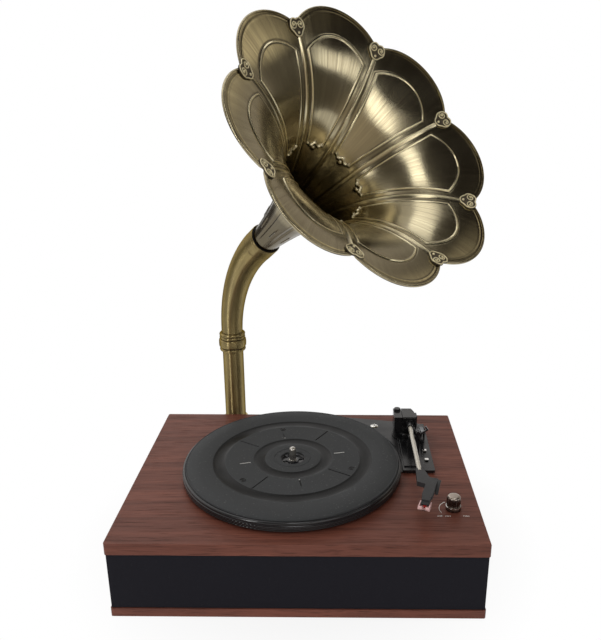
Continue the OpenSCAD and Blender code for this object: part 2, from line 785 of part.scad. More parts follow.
module arm_block() {
    half = block_w / 2;
    color(black) in_place() at_arm() difference() {
        union() {
            intersection() {
                translate([-half, 0, 0]) rotate([90, 0, 90]) linear_extrude(block_w)
                    polygon([[-block_front, -block_drop], [block_back - 2, -block_drop],
                    [block_back, -block_drop + 3],
                        [block_back, block_rise - 2], [block_back - 2, block_rise],
                        [-block_front + 1, block_rise],
                        [-block_front, block_rise - 1]]);
                translate([0, 0, -2 * block_drop]) linear_extrude(4 * block_rise)
                    polygon([[-half, -block_front], [half, -block_front], [half, -block_front + 8],
                        [half - 1.2, 0], [half - 3.6, block_back - 2.4], [half - 5.6, block_back],
                        [-half, block_back]]);
            }
            translate([0, -block_front + 1, 0]) rotate([90, 0, 0]) cylinder(r1 = 4.2, r2 = 3.6, h = 11);
        }
        translate([-half - 1, 0, 0]) rotate([0, 90, 0])
            cylinder(r = tilt_pin_d / 2 + run_gap, h = block_w + 2);
        translate([0, -4, 0]) rotate([90, 0, 0]) cylinder(d = tube_d, h = block_front + 12);
        translate([-2, 3, 1.4]) rotate([-90, 0, 0]) cylinder(r = 4, h = block_back);
    }
}

module counterweight() {
    color(steel) in_place() at_arm() translate([-2, 3, 1.4]) rotate([-90, 0, 0])
        cylinder(r = 4, h = block_back - 3.5);
}

module arm_tube() {
    color([0.86, 0.83, 0.76]) in_place() at_arm() translate([0, -4, 0]) rotate([90, 0, 0])
        cylinder(d = tube_d, h = tube_reach - 4);
}

// The headshell's own frame: x across it, y towards the pivot, at its rear end
module at_shell() {
    translate([shell_x - pivot_x, shell_y - pivot_y, 0]) rotate([0, 0, -shell_angle]) children();
}

shell_top = 2.4;
shell_low = -3.3;
shell_bend = 15;
nose_drop = 2.6;
cheek_w = 1;
shell_half = shell_w / 2;
nose_half = shell_half - 1;

module headshell() {
    neck_x = shell_x - pivot_x;
    neck_y = shell_y - pivot_y;
    side = [[0, shell_low], [0, shell_top], [-shell_bend, shell_top], [-shell_len, shell_top - nose_drop],
        [-shell_len, shell_top - nose_drop - 1.3], [-shell_len + 7, shell_low], [-shell_bend, shell_low]];
    plan = [[-shell_half, 0], [-shell_half, -shell_len + 7], [-nose_half, -shell_len + 4],
    [-nose_half, -shell_len],
        [nose_half, -shell_len], [nose_half, -shell_len + 4], [shell_half, -shell_len + 7], [shell_half, 0]];
    color([0.2, 0.2, 0.21]) in_place() at_arm() difference() {
        union() {
            // Angled neck from the tube's end to the shell
            translate([0, 0, shell_low + 0.2]) linear_extrude(1.7 - shell_low) polygon([
                [-3.5, -tube_reach + 4], [3.5, -tube_reach + 4], [neck_x - 3, neck_y + 2],
                [neck_x + 1, neck_y - 2],
                [neck_x - 6, neck_y - 12], [-5, neck_y - 6]]);
            at_shell() intersection() {
                translate([-shell_half, 0, 0]) rotate([90, 0, 90]) linear_extrude(shell_w) polygon(side);
                translate([0, 0, -shell_w]) linear_extrude(2 * shell_w) polygon(plan);
            }
        }
        // Room for the cartridge below the top
        at_shell() translate([-shell_half + cheek_w, 0, 0]) rotate([90, 0, 90])
            linear_extrude(shell_w - 2 * cheek_w)
            polygon([[-shell_bend, 2 * shell_low], [-shell_bend, 1.2],
            [-shell_len - 1, shell_top - nose_drop - 1.34],
                [-shell_len - 1, 2 * shell_low]]);
        translate([0, -tube_reach + 8, 0]) rotate([90, 0, 0]) cylinder(d = tube_d, h = 8);
    }
}

module finger_lift() {
    color(black) in_place() at_arm() at_shell() translate([shell_half, -2, 0]) rotate([90, 0, 90])
        linear_extrude(3.2)
        polygon([[0, shell_top], [-3, shell_top], [-9, -0.5], [-16, -4.5], [-15.2, -5.2], [-8.4, -1.5],
        [-3, 0.8], [0, 0.8]]);
}

cartridge_w = shell_w - 2 * cheek_w - 0.4;

module cartridge() {
    color([0.16, 0.16, 0.19]) in_place() at_arm() at_shell() translate([-cartridge_w / 2, 0, 0])
        rotate([90, 0, 90]) linear_extrude(cartridge_w)
            polygon([[-shell_bend, -4], [-shell_bend, 1.1], [-shell_len, shell_top - nose_drop - 1.4],
                [-shell_len - 3, shell_top - nose_drop - 2.6], [-shell_len - 3, -4.6],
                [-shell_bend - 4, -4.6]]);
}

stylus_reach = shell_len + 4.6;

module stylus() {
    color([0.7, 0.08, 0.1]) in_place() at_arm() at_shell() {
        translate([-1.5, -shell_len - 3.6, -5.6]) cube([3, 7, 1]);
        translate([-0.6, -stylus_reach - 0.4, -5.2]) cube([1.2, 2.4, 0.5]);
        translate([0, -stylus_reach, -6.4]) cylinder(r1 = 0.15, r2 = 0.4, h = 1.4);
    }
}

// Cap that slips on from the front: a floor with two side walls, notched at the nose
guard_gap = 0.3;
guard_wall = 1.3;
guard_floor = -7.9;
guard_travel = 16;

module stylus_guard() {
    inner = cartridge_w / 2 + guard_gap + 0.2;
    outer = inner + guard_wall;
    back = -shell_len + 3;
    front = -shell_len - 9;
    color([0.93, 0.82, 0.82]) in_place() at_arm() at_shell() difference() {
        translate([-outer, 0, 0]) rotate([90, 0, 90]) linear_extrude(2 * outer)
            polygon([[back, -3.6], [back, guard_floor + 1.4], [back - 1.4, guard_floor],
            [front + 3, guard_floor],
                [front, guard_floor + 1.6], [front, -4.4], [front + 2.4, -3.2], [back - 5, -3.2],
                [back - 4, -3.6]]);
        translate([-inner, front + 2.2, guard_floor + 1]) cube([2 * inner, back - front, 10]);
        translate([-1.6, front - 1, guard_floor + 2]) cube([3.2, 4, 10]);
    }
}

clip_x = pivot_x + tube_d / 2 + 4.6;
clip_z = arm_z + tube_d / 2 - 0.5;
clip_pin_r = 0.9;
clip_open = 145;

module arm_rest() {
    shelf = arm_up - tube_d / 2 - rest_gap;
    post = clip_x - pivot_x;
    color(deep_black) in_place() translate([pivot_x, rest_y, arm_plate_top]) difference() {
        union() {
            translate([-3.4, -3, 0]) cube([post + 3.4, 6, shelf]);
            translate([post - 2.6, -3, 0]) cube([5.2, 6, clip_z - arm_plate_top]);
            translate([post, 3, clip_z - arm_plate_top]) rotate([90, 0, 0]) cylinder(r = 2.6, h = 6);
        }
        translate([post, 4, clip_z - arm_plate_top]) rotate([90, 0, 0])
            cylinder(r = clip_pin_r + run_gap, h = 8);
    }
}

// Hook that turns over the tube; it is drawn closed and stands open
module arm_clip() {
    reach = clip_x - pivot_x + tube_d / 2 + 0.9;
    over = arm_z + tube_d / 2 + 0.5 - clip_z;
    color(deep_black) in_place() translate([clip_x, rest_y, clip_z]) rotate([0, clip_open, 0]) {
        translate([0, 3, 0]) rotate([90, 0, 0]) cylinder(r = clip_pin_r, h = 8.5);
        translate([0, -3.3, 0]) rotate([90, 0, 0]) cylinder(r = 2.4, h = 2.2);
        translate([0, -3.3, 0]) rotate([90, 0, 0]) linear_extrude(2.2) polygon([
            [2, 1], [0, over + 1.8], [-reach - 1.6, over + 1.8], [-reach - 1.6, -2.6], [-reach, -2.6],
            [-reach, over], [-2, over], [-2.2, -0.6]]);
    }
}

module cue_lever() {
    color(deep_black) in_place() translate([lever_x, lever_y, lever_z]) {
        translate([-4, 0, 0]) rotate([0, 90, 0]) cylinder(r = lever_pin_r, h = 8);
        translate([-2.2, 0, 0]) rotate([90, 0, 90]) linear_extrude(4.4)
            polygon([[3, -2.2], [3, 2.2], [-6, 3.4], [-18, 6], [-22, 8.4], [-23, 6.8], [-18, 3.6], [-6, -1.4]]);
    }
}

module cue_bar() {
    low = arm_up - tube_d / 2 - bar_drop;
    color(deep_black) in_place() translate([pivot_x, bar_y, arm_plate_top]) {
        translate([0, 0, -1.5]) cylinder(r = 2, h = low);
        translate([-9, -1.4, low - 2]) cube([15, 2.8, 2]);
    }
}

module switch_slider(y) {
    in_place() translate([switch_x, y, arm_plate_top]) {
        translate([-slot_w / 2 + 0.2, -1.2, -arm_plate_t + 0.4]) cube([slot_w - 0.4, 2.4, arm_plate_t + 1.6]);
        translate([-2.2, -1.8, 0.3]) cube([4.4, 3.6, 1.9]);
    }
}

module speed_switch() {
    color(black) switch_slider(speed_y);
}

module stop_switch() {
    color(black) switch_slider(stop_y);
}

// Volume control

knob_gap = 0.4;
shaft_up = 9;
control_h = 8;

module volume_knob() {
    r = knob_d / 2;
    ribs = 24;
    color(deep_black) in_place() translate([knob_x, knob_y, base_h + knob_gap]) difference() {
        rotate_extrude() polygon([[0, 0], [r, 0], [r, 2.6], [r - 0.8, 3.6], [r - 0.8, knob_h - 2],
        [0, knob_h - 2]]);
        translate([0, 0, -1]) cylinder(d = pot_shaft_d, h = shaft_up + 1);
        for (k = [0:ribs - 1])
            rotate([0, 0, k * 360 / ribs]) translate([r - 0.7, 0, 4.6]) cylinder(r = 0.45, h = knob_h);
    }
}

module knob_cap() {
    r = knob_d / 2 - 1;
    color([0.6, 0.55, 0.5]) in_place() translate([knob_x, knob_y, base_h + knob_gap + knob_h - 2])
        rotate_extrude() polygon([[0, 0], [r, 0], [r, 1], [r - 0.8, 1.7], [0, 2]]);
}

module volume_control() {
    color("dimgray") in_place() translate([knob_x, knob_y, board_z - control_h]) difference() {
        union() {
            cylinder(r = 8.5, h = control_h);
            translate([-8, -17, 0]) cube([16, 12, 2]);
        }
        translate([0, 0, 2]) cylinder(r = pot_shaft_d / 2 + run_gap, h = control_h);
    }
}

module control_shaft() {
    color(steel) in_place() translate([knob_x, knob_y, board_z - control_h + 2.2])
        cylinder(d = pot_shaft_d, h = top_t + control_h - 2.2 + knob_gap + shaft_up);
}

// Electronics

amp_x = 60;
amp_y = back_y - 71;
amp_w = 110;
amp_d = 70;
post_dx = amp_w / 2 - 5;
post_dy = amp_d / 2 - 5;
amp_up = 7;

module amplifier_board() {
    color("darkgreen") in_place() translate([amp_x, amp_y, bottom_t]) {
        translate([-amp_w / 2, -amp_d / 2, amp_up]) cube([amp_w, amp_d, 1.6]);
        for (x = [-post_dx, post_dx], y = [-post_dy, post_dy]) {
            translate([x, y, 0]) cylinder(r = 3, h = amp_up);
            translate([x, y, -3.5]) cylinder(r = pilot_r, h = 4);
        }
    }
}

module amplifier_parts() {
    u = amp_w / 11;
    color("gray") in_place() translate([amp_x, amp_y, bottom_t + amp_up + 1.6]) {
        for (x = [-3.8, -2.2]) translate([x * u, 1.8 * u, 0]) cylinder(r = 0.6 * u, h = 2 * u);
        translate([-0.5 * u, 0.8 * u, 0]) cube([3.4 * u, 2 * u, 1.6 * u]);
        translate([-4 * u, -2 * u, 0]) cube([1.8 * u, 1.8 * u, 0.3 * u]);
        translate([-0.5 * u, -2.4 * u, 0]) cube([3 * u, 1.2 * u, 1.2 * u]);
    }
}

module jack_plate() {
    color(deep_black) in_place() translate([jack_x, back_y, jack_z]) difference() {
        rotate([-90, 0, 0]) linear_extrude(1.6) rounded_outline(jack_w, jack_h, 3);
        for (x = jack_places) translate([x, -1, 0]) rotate([-90, 0, 0]) cylinder(r = jack_r, h = 4);
    }
}

// Power inlet, two line outputs with barrels, and audio input
jack_out = 2.4;
barrel_r = 4.15;
barrel_len = 8.5;
jack_hole = [2.75, 1.6, 1.6, 1.75];

module jacks() {
    color([0.25, 0.25, 0.26]) in_place() for (i = [0:3])
        translate([jack_x + jack_places[i], back_y - rear_t - 4, jack_z]) rotate([-90, 0, 0]) difference() {
            union() {
                cylinder(r = jack_r, h = rear_t + 4 + jack_out);
                if (i == 1 || i == 2) translate([0, 0, rear_t])
                    cylinder(r = barrel_r, h = 4 + jack_out + barrel_len);
            }
            translate([0, 0, 4]) cylinder(r = jack_hole[i], h = rear_t + 20);
        }
}

// Horn

module horn_driver() {
    r = flange_d / 2 - 1;
    u = r / 23;
    color("dimgray") in_place() translate([pipe_x, back_y - rear_t, flange_z]) rotate([90, 0, 0])
        rotate_extrude()
        polygon([[pipe_in, 0], [r, 0], [r, 5 * u], [r - 6 * u, 9 * u], [r - 6 * u, 26 * u], [0, 26 * u],
            [0, 8 * u], [pipe_in, 4 * u]]);
}

flange_screw_r = 19;
flange_screw_len = 7;

module flange_screw_places() {
    translate([pipe_x, back_y + flange_t, flange_z]) rotate([-90, 0, 0])
        for (a = [45:90:315]) rotate([0, 0, a]) translate([flange_screw_r, 0, 0]) children();
}

module horn_flange() {
    color(brass) in_place() {
        difference() {
            translate([pipe_x, back_y, flange_z]) rotate([-90, 0, 0])
                pipe_piece(flange_d / 2, elbow_r - 1.6, flange_t);
            flange_screw_places() translate([0, 0, -flange_t - 1])
                cylinder(r = pilot_r + 0.1, h = flange_t + 2);
        }
        translate([pipe_x, back_y, socket_low]) rotate([0, 90, 0])
            rotate_extrude(angle = 90) translate([pipe_behind, 0]) difference() {
                circle(elbow_r);
                circle(pipe_in - 0.5);
            }
        translate([pipe_x, pipe_y, socket_low - 2])
            pipe_piece(elbow_r + 0.6, pipe_r, socket_top - socket_low + 2);
    }
}

module flange_screws() {
    color(steel) in_place() flange_screw_places() {
        rotate_extrude() polygon([[0, 0], [3.2, 0], [2.8, 1], [1.6, 1.7], [0, 1.9]]);
        translate([0, 0, -flange_t - flange_screw_len + 0.5])
            cylinder(r = pilot_r, h = flange_t + flange_screw_len);
    }
}

module horn_pipe() {
    color(brass) in_place() translate([pipe_x, pipe_y, socket_low])
        pipe_piece(pipe_r, pipe_in, pipe_top - socket_low);
}

// Turned collar: a barrel between two beads, pressed on the pipe
module pipe_collar() {
    r = collar_d / 2;
    h = collar_h;
    step = pipe_r + 1.6;
    color(dark_brass) in_place() translate([pipe_x, pipe_y, pipe_top - h / 2]) difference() {
        union() {
            cylinder(r = step, h = h);
            translate([0, 0, 0.22 * h]) cylinder(r = r, h = 0.42 * h);
            for (z = [0.09 * h, 0.74 * h, 0.9 * h])
                translate([0, 0, z]) rotate_extrude() translate([step - 0.4, 0]) circle(0.085 * h);
        }
        translate([0, 0, -1]) cylinder(r = pipe_r, h = h / 2 + 1);
        cylinder(r = pipe_in, h = 2 * h);
    }
}

// Tapered bend, with the sleeve below it that turns in the pipe
module horn_elbow() {
    n = elbow_sides;
    m = elbow_steps;
    outer = [for (i = [0:m]) each ring(i / m, elbow_radius(i / m))];
    inner = [for (i = [0:m]) each ring(i / m, elbow_radius(i / m) - pipe_wall)];
    count = len(outer);
    color(brass) in_place() {
        polyhedron(points = concat(outer, inner), faces = concat(
            [for (i = [0:m - 1]) for (k = [0:n - 1]) let (a = i * n + k, b = i * n + (k + 1) % n) each
                [[a, a + n, b + n], [a, b + n, b],
                    [count + a, count + b + n, count + a + n], [count + a, count + b, count + b + n]]],
            [for (k = [0:n - 1]) let (l = (k + 1) % n, e = m * n) each
                [[k, l, count + l], [k, count + l, count + k],
                    [e + k, count + e + l, e + l], [e + k, count + e + k, count + e + l]]]));
        translate([pipe_x, pipe_y, collar_top - spigot_in])
            pipe_piece(pipe_in - run_gap, pipe_in - run_gap - 1.2, spigot_in + swivel_gap + 3);
        translate([pipe_x, pipe_y, bend_z]) pipe_piece(elbow_low_r - 0.4, pipe_in - run_gap - 0.6, 2.4);
    }
}

// Turns the +Z axis onto the horn's axis, with the origin at the end of the bend
module along_horn() {
    translate(socket_from) rotate([0, 90 - horn_tilt, axis_az]) children();
}

module elbow_socket() {
    color(brass) in_place() along_horn()
        pipe_piece(socket_r, socket_r - pipe_wall, socket_len);
}

module horn_gasket() {
    out = socket_r - pipe_wall - 0.05;
    color(deep_black) in_place() along_horn() translate([0, 0, socket_len - neck_in])
        pipe_piece(out, neck_r + 0.1, neck_in);
}

module horn_bell() {
    count = len(columns);
    color(brass) in_place() polyhedron(
        points = [for (s = sections) each s],
        faces = [for (c = [0:count - 1]) for (k = [0:rings - 1])
            let (a = c * rings + k, b = c * rings + (k + 1) % rings,
                d = ((c + 1) % count) * rings + k, e = ((c + 1) % count) * rings + (k + 1) % rings)
            each [[a, e, d], [a, b, e]]]);
}

// Oval plaques over the notches, each with a rivet through the rim
medal_t = 2;
medal_in = 3;
medal_lean = 24;

module medallions() {
    end = flare_end(pitch / 2);
    place = on_horn(pitch / 2, end, -1);
    color(dark_brass) in_place() along_horn() for (k = [0:petals - 1])
        rotate([0, 0, medal_angle(k)])
            translate([notch_r - medal_in, 0, socket_len + place[0] + 0.2]) rotate([0, -medal_lean, 0]) {
                cylinder(d = medal_w, h = medal_t);
                translate([0, 0, medal_t - 0.1]) rotate_extrude()
                    translate([medal_w / 2 - 1.2, 0]) circle(0.8);
                for (s = [-1, 1])
                    translate([1.4, s * 3.9, medal_t - 0.1]) rotate_extrude() translate([2.4, 0]) circle(0.7);
                translate([-2, 0, -2.4]) cylinder(r = 1.2, h = 3);
            }
}

// Angle of a medallion round the axis, as rotate() counts it after along_horn
function medal_angle(k) = 90 + petal_turn - k * pitch;

top_board();
bottom_board();
left_side();
right_side();
rear_panel();
front_baffle();
grille_frame();
grille_cloth();
feet();
foot_screws();
left_speaker();
right_speaker();
left_cone();
right_cone();
deck_plate();
deck_screws();
spindle();
hub_washer();
platter();
mat();
motor();
motor_pulley();
belt();
tonearm_plate();
pivot_turret();
pivot_post();
arm_yoke();
tilt_pin();
arm_block();
counterweight();
arm_tube();
headshell();
finger_lift();
cartridge();
stylus();
stylus_guard();
arm_rest();
arm_clip();
cue_lever();
cue_bar();
speed_switch();
stop_switch();
volume_knob();
knob_cap();
volume_control();
control_shaft();
amplifier_board();
amplifier_parts();
jack_plate();
jacks();
horn_driver();
horn_flange();
flange_screws();
horn_pipe();
pipe_collar();
horn_elbow();
elbow_socket();
horn_gasket();
horn_bell();
medallions();
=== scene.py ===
import json

import bmesh
import bpy
import numpy as np
from bpy.props import FloatProperty, FloatVectorProperty, IntProperty, PointerProperty
from bpy.types import Operator, Panel, PropertyGroup
from mathutils import Matrix, Vector

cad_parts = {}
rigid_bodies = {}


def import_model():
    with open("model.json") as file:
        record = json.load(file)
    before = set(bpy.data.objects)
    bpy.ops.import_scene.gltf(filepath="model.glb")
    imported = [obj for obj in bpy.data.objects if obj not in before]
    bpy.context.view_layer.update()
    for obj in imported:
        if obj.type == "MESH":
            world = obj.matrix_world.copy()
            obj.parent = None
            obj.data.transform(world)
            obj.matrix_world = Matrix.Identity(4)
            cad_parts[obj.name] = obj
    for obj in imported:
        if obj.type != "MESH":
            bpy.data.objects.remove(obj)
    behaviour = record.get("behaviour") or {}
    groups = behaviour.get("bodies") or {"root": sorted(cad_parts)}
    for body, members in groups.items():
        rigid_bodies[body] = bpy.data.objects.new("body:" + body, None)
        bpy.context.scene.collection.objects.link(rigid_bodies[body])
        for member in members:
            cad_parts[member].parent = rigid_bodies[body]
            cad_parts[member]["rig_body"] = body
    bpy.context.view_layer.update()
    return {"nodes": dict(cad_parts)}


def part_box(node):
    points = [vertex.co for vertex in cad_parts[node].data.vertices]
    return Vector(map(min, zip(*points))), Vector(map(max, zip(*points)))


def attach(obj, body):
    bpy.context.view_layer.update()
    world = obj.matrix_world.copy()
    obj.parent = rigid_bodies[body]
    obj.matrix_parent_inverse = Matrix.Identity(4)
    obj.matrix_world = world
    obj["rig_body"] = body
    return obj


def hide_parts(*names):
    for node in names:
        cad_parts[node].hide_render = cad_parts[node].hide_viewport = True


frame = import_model()

bl_info = {
    "name": "Horn Record Player",
    "version": (1, 0, 0),
    "blender": (4, 5, 0),
    "location": "View3D > Sidebar > Horn Player",
    "description": "Shapes and finishes of a record player with a brass petal horn",
    "category": "Object",
}

NODES = frame["nodes"]
MM = 0.001
UP = np.array([0.0, 0.0, 1.0])
# Least radius of a turned piece in millimetres, so that its pole is a ring and every face keeps four corners
POLE_R = 0.001
# Points of a node nearer than this, in metres, are one
MERGE_DISTANCE = 2e-6

# Sizes and places below are in millimetres in the cabinet's frame, whose origin is the middle of its
# underside. Its shift to the part's frame comes from the spindle's known place in both.
SPINDLE_XY = np.array([-11.4, 0.2])
SPINDLE_LOW, SPINDLE_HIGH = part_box("spindle")
SHIFT = np.array([(SPINDLE_LOW.x + SPINDLE_HIGH.x) / 2 / MM - SPINDLE_XY[0],
                  (SPINDLE_LOW.y + SPINDLE_HIGH.y) / 2 / MM - SPINDLE_XY[1],
                  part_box("bottom_board")[0].z / MM])

# Horn's directions: along its axis, level across it, up across it, and the way its bend leans from upright
TILT, YAW = np.radians(36.6), np.radians(43.8)
AXIS_N = np.array([np.cos(TILT) * np.sin(YAW), -np.cos(TILT) * np.cos(YAW), np.sin(TILT)])
AXIS_U = np.array([np.cos(YAW), np.sin(YAW), 0.0])
AXIS_V = np.cross(AXIS_N, AXIS_U)
BEND_OUT = np.array([np.sin(YAW), -np.cos(YAW), 0.0])

# Pipe: its place, top, collar, radius, wall and sliding gap, then the bend and the sleeve for the horn's neck
PIPE = np.array([-93.8, 150.0])
PIPE_TOP, COLLAR_Z, PIPE_R, PIPE_WALL, SLIDE = 172.0, 160.0, 12.7, 1.2, 0.05
BEND_FROM, BEND_R, BEND_ANGLE = np.array([*PIPE, 184.3]), 144.7, np.pi / 2 - TILT
SOCKET_R, SOCKET_LEN = 18.2, 18.0
SOCKET_FROM = BEND_FROM + BEND_R * ((1 - np.cos(BEND_ANGLE)) * BEND_OUT + np.sin(BEND_ANGLE) * UP)
SOCKET_END = SOCKET_FROM + SOCKET_LEN * AXIS_N

# Horn: half a petal's angle and the turn of the first, its length and radii, the rim's roll, and the
# belly's height
PETALS = 8
HALF, PETAL_TURN = np.pi / PETALS, np.radians(98.4)
HORN_LEN, TIP_R, NOTCH_R, NECK_R, NECK_IN, WALL = 192.6, 145.5, 126.8, 15.5, 12.0, 1.2
RIM_R, RIM_ROLL, SWELL = 132.0, 1.6, 1.0

# Panel on a petal: its gap from the seam, its arch's radius, the flare's radii at its foot and top, and
# the width of its bracket
SEAM_GAP, ARCH_R, FOOT_R, ARCH_TOP_R, BRACKET_W = 8.3, 46.5, 45.5, 119.8, 9.8

# Horn's grid: the column that follows the panel's side line, the share of the flare from which the rows
# close up, and the columns of half a petal, which crowd where the bead and the seam's ridge are
SIDE_LINE, ROWS_BEND = 0.6, 0.6
HALF_COLUMNS = np.array([
    0.0, 0.02, 0.05, 0.09, 0.14, 0.19, 0.24, 0.29, 0.34, 0.385, 0.425, 0.46, 0.49, 0.515, 0.535, 0.552,
    0.566, 0.578, 0.588, 0.597, 0.61, 0.63, 0.655, 0.69, 0.74, 0.79, 0.84, 0.885, 0.92, 0.95, 0.975, 1.0])

# Medallion: its radius and the middle of each scroll
MEDALLION_R, SCROLL_X, SCROLL_Y = 9.2, 2.2, 4.1

# Platter, mat and knob, the mat's grooves as (angle in degrees, radius at which each ends), and its sunk
# bands as (inner radius, width)
PLATTER_R, RIM_Z, PLATTER_TOP, MAT_TOP = 116.0, 82.2, 91.8, 93.8
KNOB_XY, BOARD_TOP = np.array([149.2, -73.4]), 80.0
GROOVES = ((149.3, 70.4), (58.8, 70.4), (-31.0, 70.4), (-121.0, 70.4), (104.8, 56), (-78.0, 56))
BANDS = ((29.7, 12.0), (71.6, 13.0))

# Camera that sees what the photograph shows: its place, its directions, its lens and the picture, in pixels
CAMERA_SPOT = (34.0, -654.0, 468.0)
CAMERA_RIGHT, CAMERA_AHEAD = (0.99997, 0.0076, 0.0018), (-0.0066, 0.9474, -0.3201)
PICTURE_W, PICTURE_H, MIDDLE_PIXEL, FOCAL_PIXELS, SENSOR = 601, 640, (331.17, 322.15), 691.0, 36.0

# Lamps, in metres and degrees: the horn's middle, at which they look, and each one's name, azimuth,
# elevation, distance, size and share of the lamp glow
HORN_MIDDLE = (0.06, 0.0, 0.42)
LAMPS = (
    ("ceiling_front", 2, 60, 1.9, (0.42, 1.3), 1.0), ("ceiling_back", 150, 66, 1.8, (0.5, 0.9), 0.6),
    ("side_window", 30, 20, 1.8, (0.9, 0.48), 1.05), ("side_far", 70, 17, 1.8, (0.8, 0.4), 0.68),
    ("left_window", -40, 14, 1.8, (0.2, 1.3), 3.0), ("ceiling_left", -120, 62, 1.8, (1.0, 0.6), 0.36),
)

# Room that the brass mirrors: its tone, and patches as (aim, cosines at which each starts and is full,
# colour, whether it stands above the floor)
ROOM_TONE = (0.09, 0.082, 0.07)
ROOM_PATCHES = (
    ((0.17, -0.95, -0.26), 0.6, 0.95, (0.4, 0.35, 0.29), False),
    ((0.48, 0.84, 0.26), 0.86, 0.98, (0.36, 0.33, 0.3), False),
    ((0.77, 0.25, 0.59), 0.945, 0.99, (1.7, 1.55, 1.2), False),
    ((0.70, -0.22, 0.68), 0.72, 0.9, (0.015, 0.013, 0.012), False),
    ((-0.66, 0.66, 0.36), 0.35, 0.85, (1.0, 0.97, 0.94), True),
)

# Finishes of one colour, as (colour, roughness, share of metal, settings that differ from plain_finish's own)
DUST = (0.6, 0.58, 0.55)
PLAIN = {
    "black_board": ((0.022, 0.021, 0.022), 0.6, 0.0, {}),
    "foot_rubber": ((0.015, 0.015, 0.015), 0.8, 0.0, {}),
    "zinc_screws": ((0.55, 0.55, 0.53), 0.35, 1.0, {}),
    "driver_steel": ((0.25, 0.25, 0.26), 0.45, 1.0, {}),
    "cone_paper": ((0.03, 0.03, 0.03), 0.9, 0.0, {"pits": 0.4}),
    "deck_black": ((0.012, 0.012, 0.014), 0.36, 0.0, {"pits": 0.3, "scale": 60.0}),
    "chrome": ((0.72, 0.71, 0.68), 0.14, 1.0, {"vary": 0.05, "pits": 0.03}),
    "bearing_brass": ((0.6, 0.45, 0.2), 0.3, 1.0, {}),
    "platter_black": ((0.016, 0.016, 0.018), 0.2, 0.0, {"pits": 0.04, "vary": 0.15, "dust": 0.03}),
    # Pale strokes and dots on the mat, which are painted glints
    "painted_glint": ((0.5, 0.5, 0.48), 0.3, 0.0, {}),
    "belt_rubber": ((0.012, 0.012, 0.012), 0.7, 0.0, {}),
    "arm_black": ((0.007, 0.007, 0.008), 0.24, 0.0, {"pits": 0.12, "scale": 70.0, "dust": 0.02}),
    "spindle_steel": ((0.5, 0.48, 0.45), 0.26, 0.9, {}),
    "shaft_steel": ((0.5, 0.5, 0.5), 0.25, 1.0, {}),
    "shell_black": ((0.028, 0.028, 0.03), 0.5, 0.0, {"pits": 0.3, "scale": 80.0}),
    "stylus_red": ((0.45, 0.02, 0.015), 0.3, 0.0, {}),
    "guard_pink": ((0.75, 0.48, 0.47), 0.22, 0.0, {"vary": 0.06}),
    "knob_black": ((0.13, 0.105, 0.09), 0.16, 1.0, {"pits": 0.03, "vary": 0.05}),
    "cap_metal": ((0.36, 0.31, 0.27), 0.2, 1.0, {"pits": 0.05}),
    "board_green": ((0.02, 0.12, 0.05), 0.4, 0.0, {}),
    "board_parts": ((0.08, 0.08, 0.09), 0.4, 0.0, {}),
    "jack_metal": ((0.5, 0.49, 0.46), 0.3, 1.0, {}),
    "brass_screws": ((0.4, 0.33, 0.17), 0.35, 1.0, {}),
    "print_white": ((0.9, 0.88, 0.84), 0.5, 0.0, {"vary": 0.04}),
    "ring_bright": ((0.8, 0.8, 0.78), 0.12, 1.0, {"vary": 0.04, "pits": 0.02}),
    # Black for the horn's gasket and the mat's C marks, and painted shade on the floors of the mat's grooves
    "black_and_groove_shade": ((0.006, 0.006, 0.006), 0.7, 0.0, {}),
}


def world(points):
    """Points of the cabinet's frame in millimetres, as points of the part's frame in metres."""
    return (np.asarray(points, float) + SHIFT) * MM


# Grids, profiles and paths

def quads(rows, cols, close_rows, close_cols):
    """Quads of a grid of points stored row by row, and the uv of each quad's four corners.
    Every quad joins a point with its neighbour in the row, the point above that, and the one above itself.
    u counts columns and v counts rows, both as shares of the whole, so they run on past a closed seam."""
    i, j = np.meshgrid(np.arange(rows if close_rows else rows - 1),
                       np.arange(cols if close_cols else cols - 1), indexing="ij")
    i, j = i.ravel(), j.ravel()
    corners = [(i, j), (i, j + 1), (i + 1, j + 1), (i + 1, j)]
    faces = np.stack([(a % rows) * cols + b % cols for a, b in corners], 1)
    uv = np.stack([np.stack([b / cols, a / rows], 1) for a, b in corners], 1)
    return faces, uv


def sheet(points, close_rows=False, close_cols=False, mat=0):
    """A shell from a grid of points, an array of rows by columns by three."""
    rows, cols = points.shape[:2]
    faces, uv = quads(rows, cols, close_rows, close_cols)
    return {"points": points.reshape(-1, 3), "faces": faces, "uv": uv, "mat": mat}


def outward(shell):
    """The same closed shell with its faces turned outwards.
    The sum over its faces of corner . (corner x corner), a sixth of which is the volume, is made positive."""
    p, f = shell["points"], shell["faces"]
    volume = 0.0
    for b, c in ((1, 2), (2, 3)):
        volume += np.einsum("ij,ij->", p[f[:, 0]], np.cross(p[f[:, b]], p[f[:, c]]))
    if volume < 0:
        shell["faces"] = f[:, ::-1]
        shell["uv"] = shell["uv"][:, ::-1]
    return shell


def lathe(profile, centre, steps=96, axis=(0, 0, 1), mat=0):
    """A closed profile of (radius, height) points turned about an axis through centre.
    A point's place is centre + height x axis + radius x (cos angle x across + sin angle x other)."""
    n = np.asarray(axis, float) / np.linalg.norm(axis)
    u = np.cross([0.0, 1.0, 0.0] if abs(n[1]) < 0.9 else [1.0, 0.0, 0.0], n)
    u /= np.linalg.norm(u)
    v = np.cross(n, u)
    r, h = np.asarray(profile, float).T
    a = np.linspace(0, 2 * np.pi, steps, endpoint=False)
    ring = np.cos(a)[None, :, None] * u + np.sin(a)[None, :, None] * v
    points = np.asarray(centre, float) + h[:, None, None] * n + np.maximum(r, POLE_R)[:, None, None] * ring
    return outward(sheet(points, True, True, mat))


